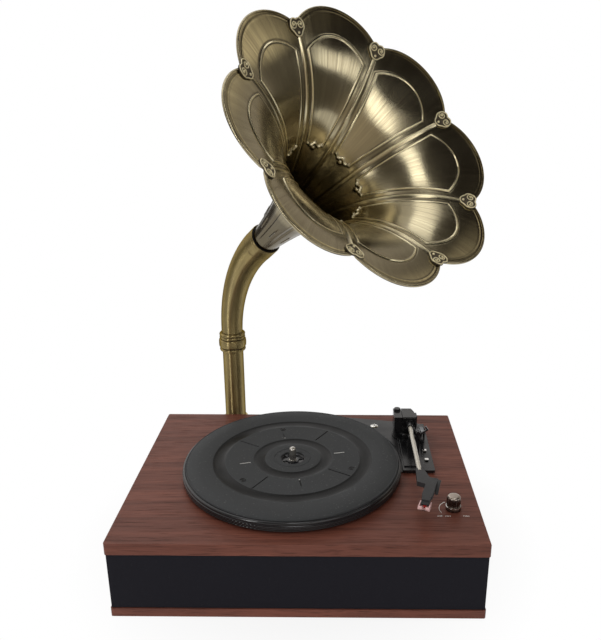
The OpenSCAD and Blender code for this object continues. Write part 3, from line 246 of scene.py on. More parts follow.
def round_points(centre, radius, angle, height):
    """Points round an upright axis: centre + radius x (cos angle, sin angle), at a height."""
    x = centre[0] + radius * np.cos(angle)
    y = centre[1] + radius * np.sin(angle)
    return np.stack(np.broadcast_arrays(x, y, height), -1)


def tube(path, radius, sides=10, closed=False, mat=0):
    """A round tube along a path: at each point a circle of the given radius stands square to the path.
    The circle is path + radius x (cos angle x side + sin angle x top), and an open tube ends in a point."""
    path = np.asarray(path, float)
    radius = np.broadcast_to(np.asarray(radius, float), (len(path),)).copy()
    if closed:
        along = np.roll(path, -1, 0) - np.roll(path, 1, 0)
    else:
        along = np.gradient(path, axis=0)
        first, last = path[:1] - along[:1] * 0.01, path[-1:] + along[-1:] * 0.01
        path = np.concatenate([first, path, last])
        along = np.concatenate([along[:1], along, along[-1:]])
        radius = np.concatenate([[0.1 * POLE_R], radius, [0.1 * POLE_R]])
    along = along / np.linalg.norm(along, axis=1, keepdims=True)
    side = np.cross(along, UP)
    side /= np.linalg.norm(side, axis=1, keepdims=True)
    top = np.cross(side, along)
    a = np.linspace(0, 2 * np.pi, sides, endpoint=False)
    points = path[:, None] + radius[:, None, None] * (
        np.cos(a)[None, :, None] * side[:, None] + np.sin(a)[None, :, None] * top[:, None])
    return outward(sheet(points, True, True, mat))


def ball(centre, radius, steps=12, mat=0, squash=1.0):
    """A ball: circles of radius x sin angle at height radius x cos angle above the centre."""
    a = np.linspace(np.pi, 0, steps)
    profile = np.stack([radius * np.sin(a), radius * squash * np.cos(a)], 1)
    return lathe(profile, centre, steps * 2, mat=mat)


def piece(name, shells, body, materials, hides=(), sharp=35, vectors=None, shade_and_highlight=None):
    """One object from closed shells: their points, faces, uv and materials are written as whole arrays.
    vectors and shade_and_highlight give each point the direction of its brushing and its painted shade
    (above 0) and painted highlight (below 0), as brass_finish reads them."""
    points = world(np.concatenate([s["points"] for s in shells]))
    starts = np.cumsum([0] + [len(s["points"]) for s in shells[:-1]])
    faces = np.concatenate([s["faces"] + k for s, k in zip(shells, starts)])
    uv = np.concatenate([s["uv"] for s in shells])
    mesh = bpy.data.meshes.new(name)
    mesh.vertices.add(len(points))
    mesh.vertices.foreach_set("co", points.astype(np.float32).ravel())
    mesh.loops.add(faces.size)
    mesh.loops.foreach_set("vertex_index", faces.astype(np.int32).ravel())
    mesh.polygons.add(len(faces))
    mesh.polygons.foreach_set("loop_start", np.arange(0, faces.size, 4, dtype=np.int32))
    mesh.polygons.foreach_set("material_index", np.concatenate(
        [np.full(len(s["faces"]), s["mat"], np.int32) for s in shells]))
    mesh.uv_layers.new(name="map").data.foreach_set("uv", uv.astype(np.float32).ravel())
    if vectors is not None:
        layer = mesh.attributes.new("along", "FLOAT_VECTOR", "POINT")
        layer.data.foreach_set("vector", np.asarray(vectors, np.float32).ravel())
    if shade_and_highlight is not None:
        layer = mesh.attributes.new("shade_and_highlight", "FLOAT", "POINT")
        layer.data.foreach_set("value", shade_and_highlight.astype(np.float32).ravel())
    mesh.update(calc_edges=True)
    mesh.validate()
    return finish_piece(name, mesh, body, materials, hides, sharp)


def finish_piece(name, mesh, body, materials, hides=(), sharp=35):
    """Makes the object of a mesh, smooths its shading up to an angle, ties it to its body, and hides the
    nodes it stands for.
    """
    mesh.polygons.foreach_set("use_smooth", np.ones(len(mesh.polygons), bool))
    mesh.set_sharp_from_angle(angle=np.radians(sharp))
    for m in materials:
        mesh.materials.append(finish(m))
    obj = bpy.data.objects.new(name, mesh)
    bpy.context.scene.collection.objects.link(obj)
    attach(obj, body)
    if hides:
        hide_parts(*hides)
    return obj


def softened(node, material, bevel):
    """A copy of a node with its doubles merged, its flat faces joined and its edges rounded by a Bevel
    modifier."""
    mesh = NODES[node].data.copy()
    mesh.name = node + "_dressed"
    mesh.materials.clear()
    bm = bmesh.new()
    bm.from_mesh(mesh)
    bmesh.ops.remove_doubles(bm, verts=bm.verts, dist=MERGE_DISTANCE)
    bmesh.ops.dissolve_limit(bm, angle_limit=np.radians(0.6), verts=bm.verts, edges=bm.edges)
    bm.to_mesh(mesh)
    bm.free()
    old_normals = mesh.attributes.get("custom_normal")
    if old_normals:
        mesh.attributes.remove(old_normals)
    obj = finish_piece(mesh.name, mesh, NODES[node]["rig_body"], [material], (node,), 40)
    edges = obj.modifiers.new("soft_edges", "BEVEL")
    edges.width, edges.segments, edges.limit_method = bevel * MM, 2, "ANGLE"
    edges.angle_limit = np.radians(38)
    edges.harden_normals = True
    edges.use_clamp_overlap = True


# Finishes

def add(tree, kind, inputs=None, **settings):
    """Adds a node, sets its properties, and gives each named input a number or a link."""
    n = tree.nodes.new(kind)
    for key, value in settings.items():
        setattr(n, key, value)
    for key, value in (inputs or {}).items():
        if isinstance(value, bpy.types.NodeSocket):
            tree.links.new(value, n.inputs[key])
        else:
            n.inputs[key].default_value = value
    return n


def mixed(tree, fac, a, b):
    """A colour mix: fac, then the two colours."""
    n = add(tree, "ShaderNodeMix", data_type="RGBA")
    for index, value in ((0, fac), (6, a), (7, b)):
        if isinstance(value, bpy.types.NodeSocket):
            tree.links.new(value, n.inputs[index])
        else:
            n.inputs[index].default_value = value if index == 0 else (*value[:3], 1)
    return n.outputs[2]


def maths(tree, operation, *values):
    """A Math node on sockets or numbers, as its value."""
    return add(tree, "ShaderNodeMath", dict(enumerate(values)), operation=operation).outputs[0]


def span(tree, value, low, high, to_low, to_high):
    """A value carried from one range to another and held inside it."""
    return add(tree, "ShaderNodeMapRange", {"Value": value, "From Min": low, "From Max": high,
                                            "To Min": to_low, "To Max": to_high}).outputs["Result"]


def group(name, inputs, outputs):
    """A shader node group with the named sockets, made once, with its input and output nodes."""
    tree = bpy.data.node_groups.new(name, "ShaderNodeTree")
    for label, kind, value in inputs:
        socket = tree.interface.new_socket(label, in_out="INPUT", socket_type="NodeSocket" + kind)
        if value is not None:
            socket.default_value = value
    for label, kind in outputs:
        tree.interface.new_socket(label, in_out="OUTPUT", socket_type="NodeSocket" + kind)
    return tree, tree.nodes.new("NodeGroupInput").outputs, tree.nodes.new("NodeGroupOutput").inputs


def vector_maths(tree, operation, *values):
    """A Vector Math node on sockets or triples, as its outputs."""
    return add(tree, "ShaderNodeVectorMath", dict(enumerate(values)), operation=operation).outputs


def noise(tree, place, scale, detail, roughness=0.5):
    """A Noise Texture node, as its outputs."""
    return add(tree, "ShaderNodeTexNoise", {"Vector": place, "Scale": scale, "Detail": detail,
                                            "Roughness": roughness}).outputs


def group_handling():
    """Signs of handling: a cloudy mask for smudges, a mask of fine dust specks, and a height of tiny pits."""
    if "Handling Marks" in bpy.data.node_groups:
        return bpy.data.node_groups["Handling Marks"]
    tree, i, o = group("Handling Marks", [("Vector", "Vector", None), ("Scale", "Float", 40.0)],
                       [("Smudge", "Float"), ("Specks", "Float"), ("Pits", "Float")])
    cloud = noise(tree, i["Vector"], i["Scale"], 4.0)["Fac"]
    speck = noise(tree, i["Vector"], maths(tree, "MULTIPLY", i["Scale"], 30.0), 2.0)["Fac"]
    tree.links.new(span(tree, cloud, 0.35, 0.7, 0.0, 1.0), o["Smudge"])
    tree.links.new(span(tree, speck, 0.66, 0.72, 0.0, 1.0), o["Specks"])
    tree.links.new(speck, o["Pits"])
    return tree


def group_brushed():
    """Brushing lines that run along the third coordinate: noise stretched a hundred times that way.
    The first two coordinates are a place round a circle, so that the lines close without a seam."""
    if "Brushed Lines" in bpy.data.node_groups:
        return bpy.data.node_groups["Brushed Lines"]
    tree, i, o = group("Brushed Lines",
                       [("Vector", "Vector", None), ("Lines", "Float", 60.0), ("Length", "Float", 2.0)],
                       [("Fine", "Float"), ("Broad", "Float"), ("Tarnish", "Float")])
    parts = add(tree, "ShaderNodeSeparateXYZ", {"Vector": i["Vector"]}).outputs
    for label, share, detail in (("Fine", 1.0, 3.0), ("Broad", 0.22, 2.0)):
        lines = maths(tree, "MULTIPLY", i["Lines"], share)
        place = add(tree, "ShaderNodeCombineXYZ", {
            "X": maths(tree, "MULTIPLY", parts["X"], lines),
            "Y": maths(tree, "MULTIPLY", parts["Y"], lines),
            "Z": maths(tree, "MULTIPLY", parts["Z"], i["Length"])}).outputs["Vector"]
        tree.links.new(noise(tree, place, 1.0, detail, 0.6)["Fac"], o[label])
    cloud = noise(tree, i["Vector"], 2.2, 3.0)["Fac"]
    tree.links.new(span(tree, cloud, 0.4, 0.68, 0.0, 1.0), o["Tarnish"])
    return tree


def group_veneer():
    """Wood grain that runs along X: long fine pores, wider bands, and a slow change of tone."""
    if "Veneer Grain" in bpy.data.node_groups:
        return bpy.data.node_groups["Veneer Grain"]
    tree, i, o = group("Veneer Grain", [("Vector", "Vector", None)],
                       [("Bands", "Float"), ("Pores", "Float"), ("Tone", "Float")])
    bend = noise(tree, i["Vector"], 7.0, 1.0)["Color"]
    shift = vector_maths(tree, "MULTIPLY", bend, (0.0, 0.012, 0.012))["Vector"]
    place = vector_maths(tree, "ADD", i["Vector"], shift)["Vector"]
    for label, stretch, detail, low, high in (("Bands", (2.4, 105.0, 105.0), 6.0, 0.33, 0.67),
                                              ("Pores", (26.0, 900.0, 900.0), 2.0, 0.52, 0.66)):
        wide = vector_maths(tree, "MULTIPLY", place, stretch)["Vector"]
        lines = noise(tree, wide, 1.0, detail, 0.7)["Fac"]
        tree.links.new(span(tree, lines, low, high, 0.0, 1.0), o[label])
    tree.links.new(noise(tree, i["Vector"], 9.0, 2.0)["Fac"], o["Tone"])
    return tree


def start_material(name):
    """An empty node material with its Principled shader and output."""
    mat = bpy.data.materials.new(name)
    mat.use_nodes = True
    tree = mat.node_tree
    tree.nodes.clear()
    shader = add(tree, "ShaderNodeBsdfPrincipled")
    out = add(tree, "ShaderNodeOutputMaterial")
    tree.links.new(shader.outputs["BSDF"], out.inputs["Surface"])
    return mat, tree, shader


def place_of(tree):
    """Object coordinates, in metres."""
    return add(tree, "ShaderNodeTexCoord").outputs["Object"]


def handled(tree, scale):
    """The handling marks of a material, as the group's outputs."""
    return add(tree, "ShaderNodeGroup", {"Vector": place_of(tree), "Scale": scale},
               node_tree=group_handling()).outputs


def bumped(tree, shader, height, strength, distance=0.0001):
    """Feeds a height to the shader's normal."""
    n = add(tree, "ShaderNodeBump", {"Height": height, "Strength": strength, "Distance": distance})
    tree.links.new(n.outputs["Normal"], shader.inputs["Normal"])


def tinted(colour, red, green=None, blue=None):
    """A colour with its red, green and blue times a share each, or all three times the first."""
    shares = (red, green, blue) if green is not None else (red, red, red)
    return tuple(share * c for share, c in zip(shares, colour))


def plain_finish(name, colour, rough, metal=0.0, specular=0.5, vary=0.12, scale=40.0, pits=0.15, dust=0.06):
    """Moulded, painted or plated surface: cloudy tone and gloss, dust specks and tiny pits."""
    mat, tree, shader = start_material(name)
    marks = handled(tree, scale)
    dark = tinted(colour, 1 - vary)
    light = tuple(min(1.0, c) for c in tinted(colour, 1 + vary))
    base = mixed(tree, marks["Smudge"], dark, light)
    base = mixed(tree, maths(tree, "MULTIPLY", marks["Specks"], dust), base, DUST)
    tree.links.new(base, shader.inputs["Base Color"])
    gloss = span(tree, marks["Smudge"], 0.0, 1.0, max(0.02, rough - 0.07), min(1.0, rough + 0.07))
    tree.links.new(gloss, shader.inputs["Roughness"])
    shader.inputs["Metallic"].default_value = metal
    shader.inputs["Specular IOR Level"].default_value = specular
    bumped(tree, shader, marks["Pits"], pits)
    return mat


def brass_finish(name, light, dark, rough, lines, length, twist, streak, by_attribute=True, turned=0.0):
    """Brushed and aged brass: lines along the piece, and brown tarnish in clouds. With by_attribute the
    lines follow the piece's own attribute, otherwise its upright axis, and the shade_and_highlight
    attribute darkens the brass as painted shade above 0 and brightens it as a painted highlight below 0.
    turned 0.25 spreads the gloss along the axis."""
    mat, tree, shader = start_material(name)
    if by_attribute:
        place = add(tree, "ShaderNodeAttribute", attribute_name="along").outputs["Vector"]
    else:
        place = place_of(tree)
    brush = add(tree, "ShaderNodeGroup", {"Vector": place, "Lines": lines, "Length": length},
                node_tree=group_brushed()).outputs
    base = mixed(tree, span(tree, brush["Broad"], 0.3, 0.7, 0.0, streak), light, dark)
    base = mixed(tree, span(tree, brush["Fine"], 0.3, 0.7, 0.0, streak), base, dark)
    base = mixed(tree, maths(tree, "MULTIPLY", brush["Tarnish"], 0.35), base, dark)
    gloss = span(tree, brush["Fine"], 0.3, 0.7, rough - 0.05, rough + 0.07)
    if by_attribute:
        # Painted shade darkens the brass where the attribute is above 0, and a painted highlight lightens and
        # roughens it where it is below 0
        painted_light = add(tree, "ShaderNodeAttribute", attribute_name="shade_and_highlight").outputs["Fac"]
        base = mixed(tree, span(tree, painted_light, 0.0, 1.0, 0.0, 0.85), base, tinted(dark, 0.3))
        painted_highlight = span(tree, painted_light, -1.0, 0.0, 1.0, 0.0)
        base = mixed(tree, painted_highlight, base, tuple(min(1.0, c) for c in tinted(light, 1.75)))
        gloss = maths(tree, "ADD", gloss, maths(tree, "MULTIPLY", painted_highlight, 0.2))
    tree.links.new(base, shader.inputs["Base Color"])
    tree.links.new(gloss, shader.inputs["Roughness"])
    shader.inputs["Metallic"].default_value = 1.0
    shader.inputs["Anisotropic"].default_value = twist
    shader.inputs["Anisotropic Rotation"].default_value = turned
    shader.inputs["Specular Tint"].default_value = (0.2, 0.17, 0.12, 1.0) if turned else (1.0, 1.0, 1.0, 1.0)
    tangent = add(tree, "ShaderNodeTangent", direction_type="UV_MAP", uv_map="map")
    tree.links.new(tangent.outputs["Tangent"], shader.inputs["Tangent"])
    bumped(tree, shader, brush["Fine"], 0.04)
    return mat


def veneer_finish(name, light, dark, pore, turn=0.0):
    """Walnut veneer under a thin satin lacquer. Its grain runs along X, or turned by an angle about Z."""
    mat, tree, shader = start_material(name)
    turned = add(tree, "ShaderNodeMapping", {"Vector": place_of(tree), "Rotation": (0.0, 0.0, turn)})
    grain = add(tree, "ShaderNodeGroup", {"Vector": turned.outputs["Vector"]},
                node_tree=group_veneer()).outputs
    base = mixed(tree, grain["Bands"], dark, light)
    base = mixed(tree, span(tree, grain["Tone"], 0.3, 0.7, 0.0, 0.35), base, dark)
    base = mixed(tree, maths(tree, "MULTIPLY", grain["Pores"], 0.55), base, pore)
    tree.links.new(base, shader.inputs["Base Color"])
    tree.links.new(span(tree, grain["Pores"], 0.0, 1.0, 0.42, 0.62), shader.inputs["Roughness"])
    shader.inputs["Specular IOR Level"].default_value = 0.25
    bumped(tree, shader, maths(tree, "SUBTRACT", grain["Bands"], grain["Pores"]), 0.25, 0.0002)
    return mat


def weave_finish(name, colour, pitch):
    """Loudspeaker cloth: two crossed sets of threads, each a sine wave across the cloth's face."""
    mat, tree, shader = start_material(name)
    parts = add(tree, "ShaderNodeSeparateXYZ", {"Vector": place_of(tree)}).outputs
    turns = 2 * np.pi / pitch
    across = maths(tree, "SINE", maths(tree, "MULTIPLY", parts["X"], turns))
    upright = maths(tree, "SINE", maths(tree, "MULTIPLY", parts["Z"], turns))
    threads = maths(tree, "MULTIPLY", across, upright)
    marks = handled(tree, 25.0)
    base = mixed(tree, span(tree, threads, -1.0, 1.0, 0.0, 1.0), tinted(colour, 0.85), tinted(colour, 1.2))
    base = mixed(tree, maths(tree, "MULTIPLY", marks["Smudge"], 0.3), base, colour)
    base = mixed(tree, maths(tree, "MULTIPLY", marks["Specks"], 0.02), base, (0.4, 0.4, 0.4))
    tree.links.new(base, shader.inputs["Base Color"])
    shader.inputs["Roughness"].default_value = 0.95
    shader.inputs["Specular IOR Level"].default_value = 0.15
    shader.inputs["Sheen Weight"].default_value = 0.05
    shader.inputs["Sheen Roughness"].default_value = 0.5
    bumped(tree, shader, threads, 0.2)
    return mat


def mat_finish(name, colour):
    """Rubber mat: matt, with faint rings from its mould, a millimetre apart, and a little dust."""
    mat, tree, shader = start_material(name)
    middle = ((SPINDLE_LOW + SPINDLE_HIGH) / 2).to_2d()
    shifted = vector_maths(tree, "ADD", place_of(tree), (-middle.x, -middle.y, 0.0))["Vector"]
    flat = vector_maths(tree, "MULTIPLY", shifted, (1.0, 1.0, 0.0))["Vector"]
    radius = vector_maths(tree, "LENGTH", flat)["Value"]
    rings = maths(tree, "SINE", maths(tree, "MULTIPLY", radius, 2 * np.pi / MM))
    marks = handled(tree, 18.0)
    base = mixed(tree, marks["Smudge"], tinted(colour, 0.9), tinted(colour, 1.1))
    base = mixed(tree, maths(tree, "MULTIPLY", marks["Specks"], 0.12), base, (0.5, 0.5, 0.48))
    tree.links.new(base, shader.inputs["Base Color"])
    tree.links.new(span(tree, marks["Smudge"], 0.0, 1.0, 0.62, 0.74), shader.inputs["Roughness"])
    shader.inputs["Specular IOR Level"].default_value = 0.3
    bumped(tree, shader, maths(tree, "ADD", maths(tree, "MULTIPLY", rings, 0.3), marks["Pits"]), 0.12)
    return mat


def look():
    """The user's sizes and colours."""
    return bpy.context.scene.horn_player


def finish(name):
    """The finish of that name, made when it is first asked for."""
    label = "finish_" + name
    if label in bpy.data.materials:
        return bpy.data.materials[label]
    if name in PLAIN:
        colour, rough, metal, other = PLAIN[name]
        return plain_finish(label, colour, rough, metal, **other)
    p = look().colours
    walnut = (tuple(p.walnut_light), tuple(p.walnut_dark), (0.035, 0.014, 0.01))
    brass, aged = tuple(p.brass_light), tuple(p.brass_dark)
    pipe_light, pipe_dark = tinted(brass, 0.78, 0.69, 0.48), tinted(aged, 0.6)
    makers = {
        "walnut": lambda: veneer_finish(label, *walnut),
        "walnut_side": lambda: veneer_finish(label, *walnut, turn=np.pi / 2),
        "grille_cloth": lambda: weave_finish(label, tuple(p.cloth), 1.1 * MM),
        "mat_rubber": lambda: mat_finish(label, tuple(p.mat)),
        # Sunk bands of the mat: painted darker as shade
        "mat_band": lambda: plain_finish(label, tinted(p.mat, 0.16), 0.4, specular=0.16, pits=0.05),
        "tube_cream": lambda: plain_finish(label, tuple(p.tube), 0.25, 0.5, vary=0.05, pits=0.05),
        "horn_brass": lambda: brass_finish(label, brass, aged, rough=0.2, lines=120.0, length=1.4, twist=0.7,
                                           streak=0.38),
        "pipe_brass": lambda: brass_finish(label, pipe_light, pipe_dark, rough=0.35, lines=22.0, length=1.5,
                                           twist=1.0, streak=0.1, turned=0.25),
        "turned_brass": lambda: brass_finish(label, pipe_light, pipe_dark, rough=0.36, lines=400.0,
                                             length=4.0, twist=0.95, streak=0.2, by_attribute=False,
                                             turned=0.25),
        "plain_brass": lambda: plain_finish(label, pipe_light, 0.33, 1.0, vary=0.18, scale=60.0),
        "dark_brass": lambda: plain_finish(label, tinted(brass, 0.8), 0.26, 1.0, vary=0.35, scale=160.0),
        # Painted shade: the medallions' plates and the dark rings in the collar's grooves
        "brass_painted_shade": lambda: plain_finish(label, tinted(aged, 0.3), 0.55, 0.4, vary=0.4, scale=200.0),
        # Painted highlight: the medallions' raised border, scrolls and balls
        "brass_painted_highlight": lambda: plain_finish(label, tinted(brass, 1.5), 0.42, 0.7, scale=160.0),
    }
    return makers[name]()


# Horn

def flare(t):
    """Place along the axis and radius of the horn's outer face at t from 0 to 1: a cubic Bezier curve."""
    t = np.asarray(t, float)
    a = [(0, NECK_R), (0.49 * HORN_LEN, 26.0), (0.878 * HORN_LEN, 0.351 * TIP_R), (HORN_LEN, TIP_R)]
    w = [(1 - t) ** 3, 3 * (1 - t) ** 2 * t, 3 * (1 - t) * t * t, t ** 3]
    return sum(k * p[0] for k, p in zip(w, a)), sum(k * p[1] for k, p in zip(w, a))


def flare_normal(t):
    """Direction square to the flare, pointing to the back: the slope turned by a quarter."""
    s1, r1 = flare(np.minimum(t + 0.01, 1))
    s0, r0 = flare(np.maximum(t - 0.01, 0))
    size = np.hypot(s1 - s0, r1 - r0)
    return -(r1 - r0) / size, (s1 - s0) / size


def petal_edge(a):
    """Radius of the petal's rounded edge at an angle from its middle: a circle through the notches and
    the tip."""
    x, y = NOTCH_R * np.cos(HALF), NOTCH_R * np.sin(HALF)
    bulge = TIP_R - x
    rad = (y * y + bulge * bulge) / (2 * bulge)
    mid = TIP_R - rad
    return mid * np.cos(a) + np.sqrt(rad ** 2 - (mid * np.sin(a)) ** 2)


# The flare worked out once: its shares, and there the place along the axis, the radius and the length
# along it
FLARE_T = np.linspace(0, 1, 2001)
FLARE_S, FLARE_R = flare(FLARE_T)
FLARE_L = np.concatenate([[0], np.cumsum(np.hypot(np.diff(FLARE_S), np.diff(FLARE_R)))])


def swell(a, t):
    """Height of the petal's belly: the square of a cosine across the petal times the square of a sine
    along it."""
    return SWELL * np.cos(4 * a) ** 2 * np.sin(np.pi * np.clip((t - 0.45) / 0.55, 0, 1)) ** 2


def step(x, low, high):
    """A smooth step from 0 to 1."""
    x = np.clip((x - low) / (high - low), 0, 1)
    return x * x * (3 - 2 * x)


def hump(x, middle, width):
    """A bell of height 1: e to the minus square of the distance from its middle over its width."""
    return np.exp(-((x - middle) / width) ** 2)


def roof(x, width):
    """A ridge of height 1 that falls in a straight line to 0 at its width."""
    return np.maximum(0, 1 - x / width)


def dome(x, radius):
    """Height of half a ball at a distance from its middle, as a share of its radius."""
    return np.sqrt(np.maximum(0, 1 - (x / radius) ** 2))


def emboss(a, t, end, front):
    """Height of the pressed pattern above the plain petal, towards the front, in millimetres, and the
    painted light. A panel stands a little proud inside a bead, where distance inside it is the least of three
    distances: to its side line, which keeps SEAM_GAP from the seam, to the arc of its arch, and to the
    wavy bracket at its foot. To it come a ball under the bracket and one at each end, the seam's
    ridge, a crease to the throat and a line inside the rim. The back has the panel, the ridge and a
    slot near the neck. The painted light is up to 1 where shade is painted: in dark lines beside raised
    ones, inside the rim, round the ball, towards the throat and in the slot. The back is darker all
    over, more so near the neck. The painted light is below 0 where a highlight is painted on the bead
    and the seam's ridge."""
    r = np.interp(t, FLARE_T, FLARE_R)
    l = np.interp(t, FLARE_T, FLARE_L)
    x = np.abs(a) * r
    to_seam = (HALF - np.abs(a)) * r
    foot = np.interp(FOOT_R, FLARE_R, FLARE_L)
    arch_low = np.interp(ARCH_TOP_R, FLARE_R, FLARE_L) - ARCH_R
    to_side = to_seam - SEAM_GAP
    to_arch = np.where(l > arch_low, ARCH_R - np.hypot(x, l - arch_low), np.inf)
    to_foot = l - (foot + 1.5 * np.cos(2 * np.pi * np.minimum(x, BRACKET_W) / BRACKET_W))
    inside = np.minimum(np.minimum(to_side, to_arch), to_foot)
    seam_w = np.where(a > 0, 1.5, 3.2)
    h = 0.45 * step(inside, -0.6, 1.0) + 1.15 * roof(to_seam, seam_w) * np.minimum(1, t / 0.15)
    # On the back: darker all over, more so near the neck, and painted shade in the slot
    if not front:
        slot = roof(x, 0.8) * (l > 26) * (l < 42)
        return h - 0.9 * slot, 0.5 + 0.45 * (l < 60) + slot
    at_foot = (to_foot < np.minimum(to_side, to_arch)) * 1.0
    bead = hump(inside, 0.0, 0.66 + 0.6 * at_foot)
    from_ball = np.hypot(x, l - (foot - 3.4))
    from_end = np.hypot(x - 9.0, l - (foot + 0.6))
    from_edge = np.interp(end, FLARE_T, FLARE_L) - l
    h = h + bead * (0.8 + 0.9 * at_foot) - 0.25 * hump(inside, -1.6, 0.6)
    h = h + 2.3 * dome(from_ball, 2.8) + 0.9 * dome(from_end, 1.6)
    h = h + 0.4 * roof(x, 0.9) * step(foot - 5 - l, 0, 2)
    h = h - 0.2 * hump(from_edge, 2.6, 0.8) + 0.12 * hump(from_edge, 4.4, 0.9)
    # Painted shade: dark lines beside the bead, inside the panel, beside the seam's ridge, inside the rim,
    # round the ball and towards the throat
    painted_light = hump(inside, -1.6, 0.6) + 0.3 * hump(inside, 1.3, 0.5) + 0.9 * hump(to_seam, seam_w + 0.5, 0.6)
    painted_light = painted_light + 0.8 * hump(from_edge, 2.4, 0.8) + 0.9 * hump(from_ball, 3.4, 0.7)
    painted_light = painted_light + 0.5 * step(foot - l, 0, 30)
    # Painted highlight: the bead and the seam's ridge are made lighter
    ridge = 0.7 * roof(to_seam, 0.7 * seam_w) * step(r, 30, 60)
    return h, np.minimum(painted_light, 1.0) - bead - ridge


def petal_columns():
    """Places across a petal from seam to seam: 0 is its middle, SIDE_LINE its panel's side line and 1 the
    seam."""
    return np.concatenate([-HALF_COLUMNS[:0:-1], HALF_COLUMNS])[1:]


def across(place, line):
    """Angle from the petal's middle at a place across it, which grows evenly up to the side line and from
    there to the seam. line is the angle of the side line."""
    inner = line * place / SIDE_LINE
    outer = line + (HALF - line) * (place - SIDE_LINE) / (1 - SIDE_LINE)
    return np.where(place < SIDE_LINE, inner, outer)


def row_places(stops):
    """Shares of the flare from lists of (length along it, spacing up to there), in millimetres."""
    out, start = [0.0], 0.0
    for end, gap in stops:
        count = max(1, int(round((end - start) / gap)))
        out += list(start + (end - start) * np.arange(1, count + 1) / count)
        start = end
    return np.interp(np.array(out), FLARE_L, FLARE_T)


def horn_grid(petal, place, rows, front):
    """One face of the horn as rows by columns: distance along the axis, radius, angle, share of the
    flare, and painted light (painted shade above 0, painted highlight below 0). petal and place give
    each column's petal and place across it. The rows close up towards the notches, so that the last
    one is the petal's edge. A point lies on the flare, moved along its normal by the front's wall, the
    swell and the pattern."""
    mag = np.abs(place)
    rim_angle = across(mag, HALF - SEAM_GAP / RIM_R)
    end = np.interp(np.minimum(petal_edge(rim_angle), TIP_R), FLARE_R, FLARE_T)[None, :]
    up = rows[:, None]
    t = np.where(up < ROWS_BEND, up, ROWS_BEND + (up - ROWS_BEND) * (end - ROWS_BEND) / (1 - ROWS_BEND))
    s, r = flare(t)
    ns, nr = flare_normal(t)
    a = across(mag, HALF - np.minimum(SEAM_GAP / r, 0.5 * HALF)) * np.sign(place)
    height, painted_light = emboss(a, t, end, front)
    off = -(WALL if front else 0.0) - swell(a, t) - height
    turn = petal + 0.5 + a / (2 * HALF)
    return s + ns * off, r + nr * off, PETAL_TURN - turn * 2 * HALF, t, painted_light


def make_horn():
    """The horn as one closed sheet: rows run up the front face from the neck, round the rolled rim and
    down the back. The rim is an arc of RIM_ROLL radius about the middle of the sheet's end."""
    columns = petal_columns()
    petal, place = np.repeat(np.arange(PETALS), len(columns)), np.tile(columns, PETALS)
    total = FLARE_L[-1]
    foot, arch, crown = np.interp([FOOT_R, 103.0, 124.0], FLARE_R, FLARE_L)
    front = row_places([(foot - 7, 5.5), (foot + 4, 0.55), (arch, 3.8), (crown, 0.68), (total - 7, 2.0),
                        (total, 0.6)])
    back = row_places([(24, 6), (44, 2.5), (arch - 10, 8), (crown, 3.2), (total, 4.0)])[::-1]
    fs, fr, fa, ft, painted_light = horn_grid(petal, place, front[:-1], True)
    bs, br, ba, bt, back_painted_light = horn_grid(petal, place, back[1:], False)
    ms, mr, ma, mt, _ = horn_grid(petal, place, np.array([1.0]), True)
    es, er, _, _, _ = horn_grid(petal, place, np.array([1.0]), False)
    ns, nr = flare_normal(mt)
    q = np.radians(np.linspace(-115, 115, 11))[:, None]
    rim_s = (ms + es) / 2 + RIM_ROLL * (nr * np.cos(q) + ns * np.sin(q))
    rim_r = (mr + er) / 2 + RIM_ROLL * (-ns * np.cos(q) + nr * np.sin(q))
    rim_a, rim_t = np.repeat(ma, len(q), 0), np.repeat(mt, len(q), 0)
    flat = 0 * ms
    s = np.concatenate([flat - NECK_IN, fs, rim_s, bs, flat - NECK_IN])
    r = np.concatenate([flat + NECK_R - WALL, fr, rim_r, br, flat + NECK_R])
    a = np.concatenate([fa[:1], fa, rim_a, ba, ba[-1:]])
    t = np.concatenate([flat - 0.05, ft, rim_t, bt, flat - 0.05])
    points = SOCKET_END + s[..., None] * AXIS_N + r[..., None] * (
        np.cos(a)[..., None] * AXIS_U + np.sin(a)[..., None] * AXIS_V)
    along = np.stack([np.cos(a), np.sin(a), 2 * t], -1).reshape(-1, 3)
    # Painted shade and painted highlight for each point; the rolled rim is darkened a little
    shade_and_highlight = np.concatenate([painted_light[:1], painted_light, 0 * rim_a + 0.2, back_painted_light, back_painted_light[-1:]])
    shell = outward(sheet(points, True, True))
    piece("brass_horn", [shell], "horn", ["horn_brass"], ("horn_bell",), 60, along, shade_and_highlight)


def medallion_parts():
    """A medallion lying flat: a thin plate whose outline is a circle with bell-shaped dents and bulges, a
    raised border along it, two scrolls that are spirals with a ball inside, and a bead at the inner
    point."""
    th = np.linspace(0, 2 * np.pi, 56, endpoint=False)
    off_point = np.abs((th + np.pi) % (2 * np.pi) - np.pi)
    outline = MEDALLION_R - 1.8 * hump(off_point, 0.0, 0.3) + 0.5 * hump(off_point, 0.8, 0.45)
    outline = outline - 1.5 * hump(off_point, 2.25, 0.45)
    rings = np.array([[0.02, 0.0], [1.0, 0.0], [1.0, 1.2], [0.92, 1.5], [0.7, 1.3], [0.02, 1.3]])
    parts = [outward(sheet(round_points((0, 0), rings[:, :1] * outline, th, rings[:, 1:]), True, True, 0))]
    parts.append(tube(round_points((0, 0), outline - 0.75, th, 1.55), 0.62, 8, True, 1))
    f = np.linspace(0, 1, 44)
    turn = 2 * np.pi * 1.3 * f + np.pi * 0.1
    rad = 1.4 + 2.5 * f
    taper = np.sin(np.pi * np.clip(f * 0.94 + 0.05, 0, 1)) ** 0.3
    for side in (-1, 1):
        coil = np.stack([SCROLL_X - rad * np.cos(turn), side * (SCROLL_Y + rad * np.sin(turn)),
                         0 * f + 1.6], -1)
        parts.append(tube(coil, 0.62 * taper, 7, False, 1))
        parts.append(ball((SCROLL_X, side * SCROLL_Y, 1.7), 1.05, 7, 1))
    parts.append(ball((-5.2, 0.0, 1.4), 1.3, 8, 1))
    return parts


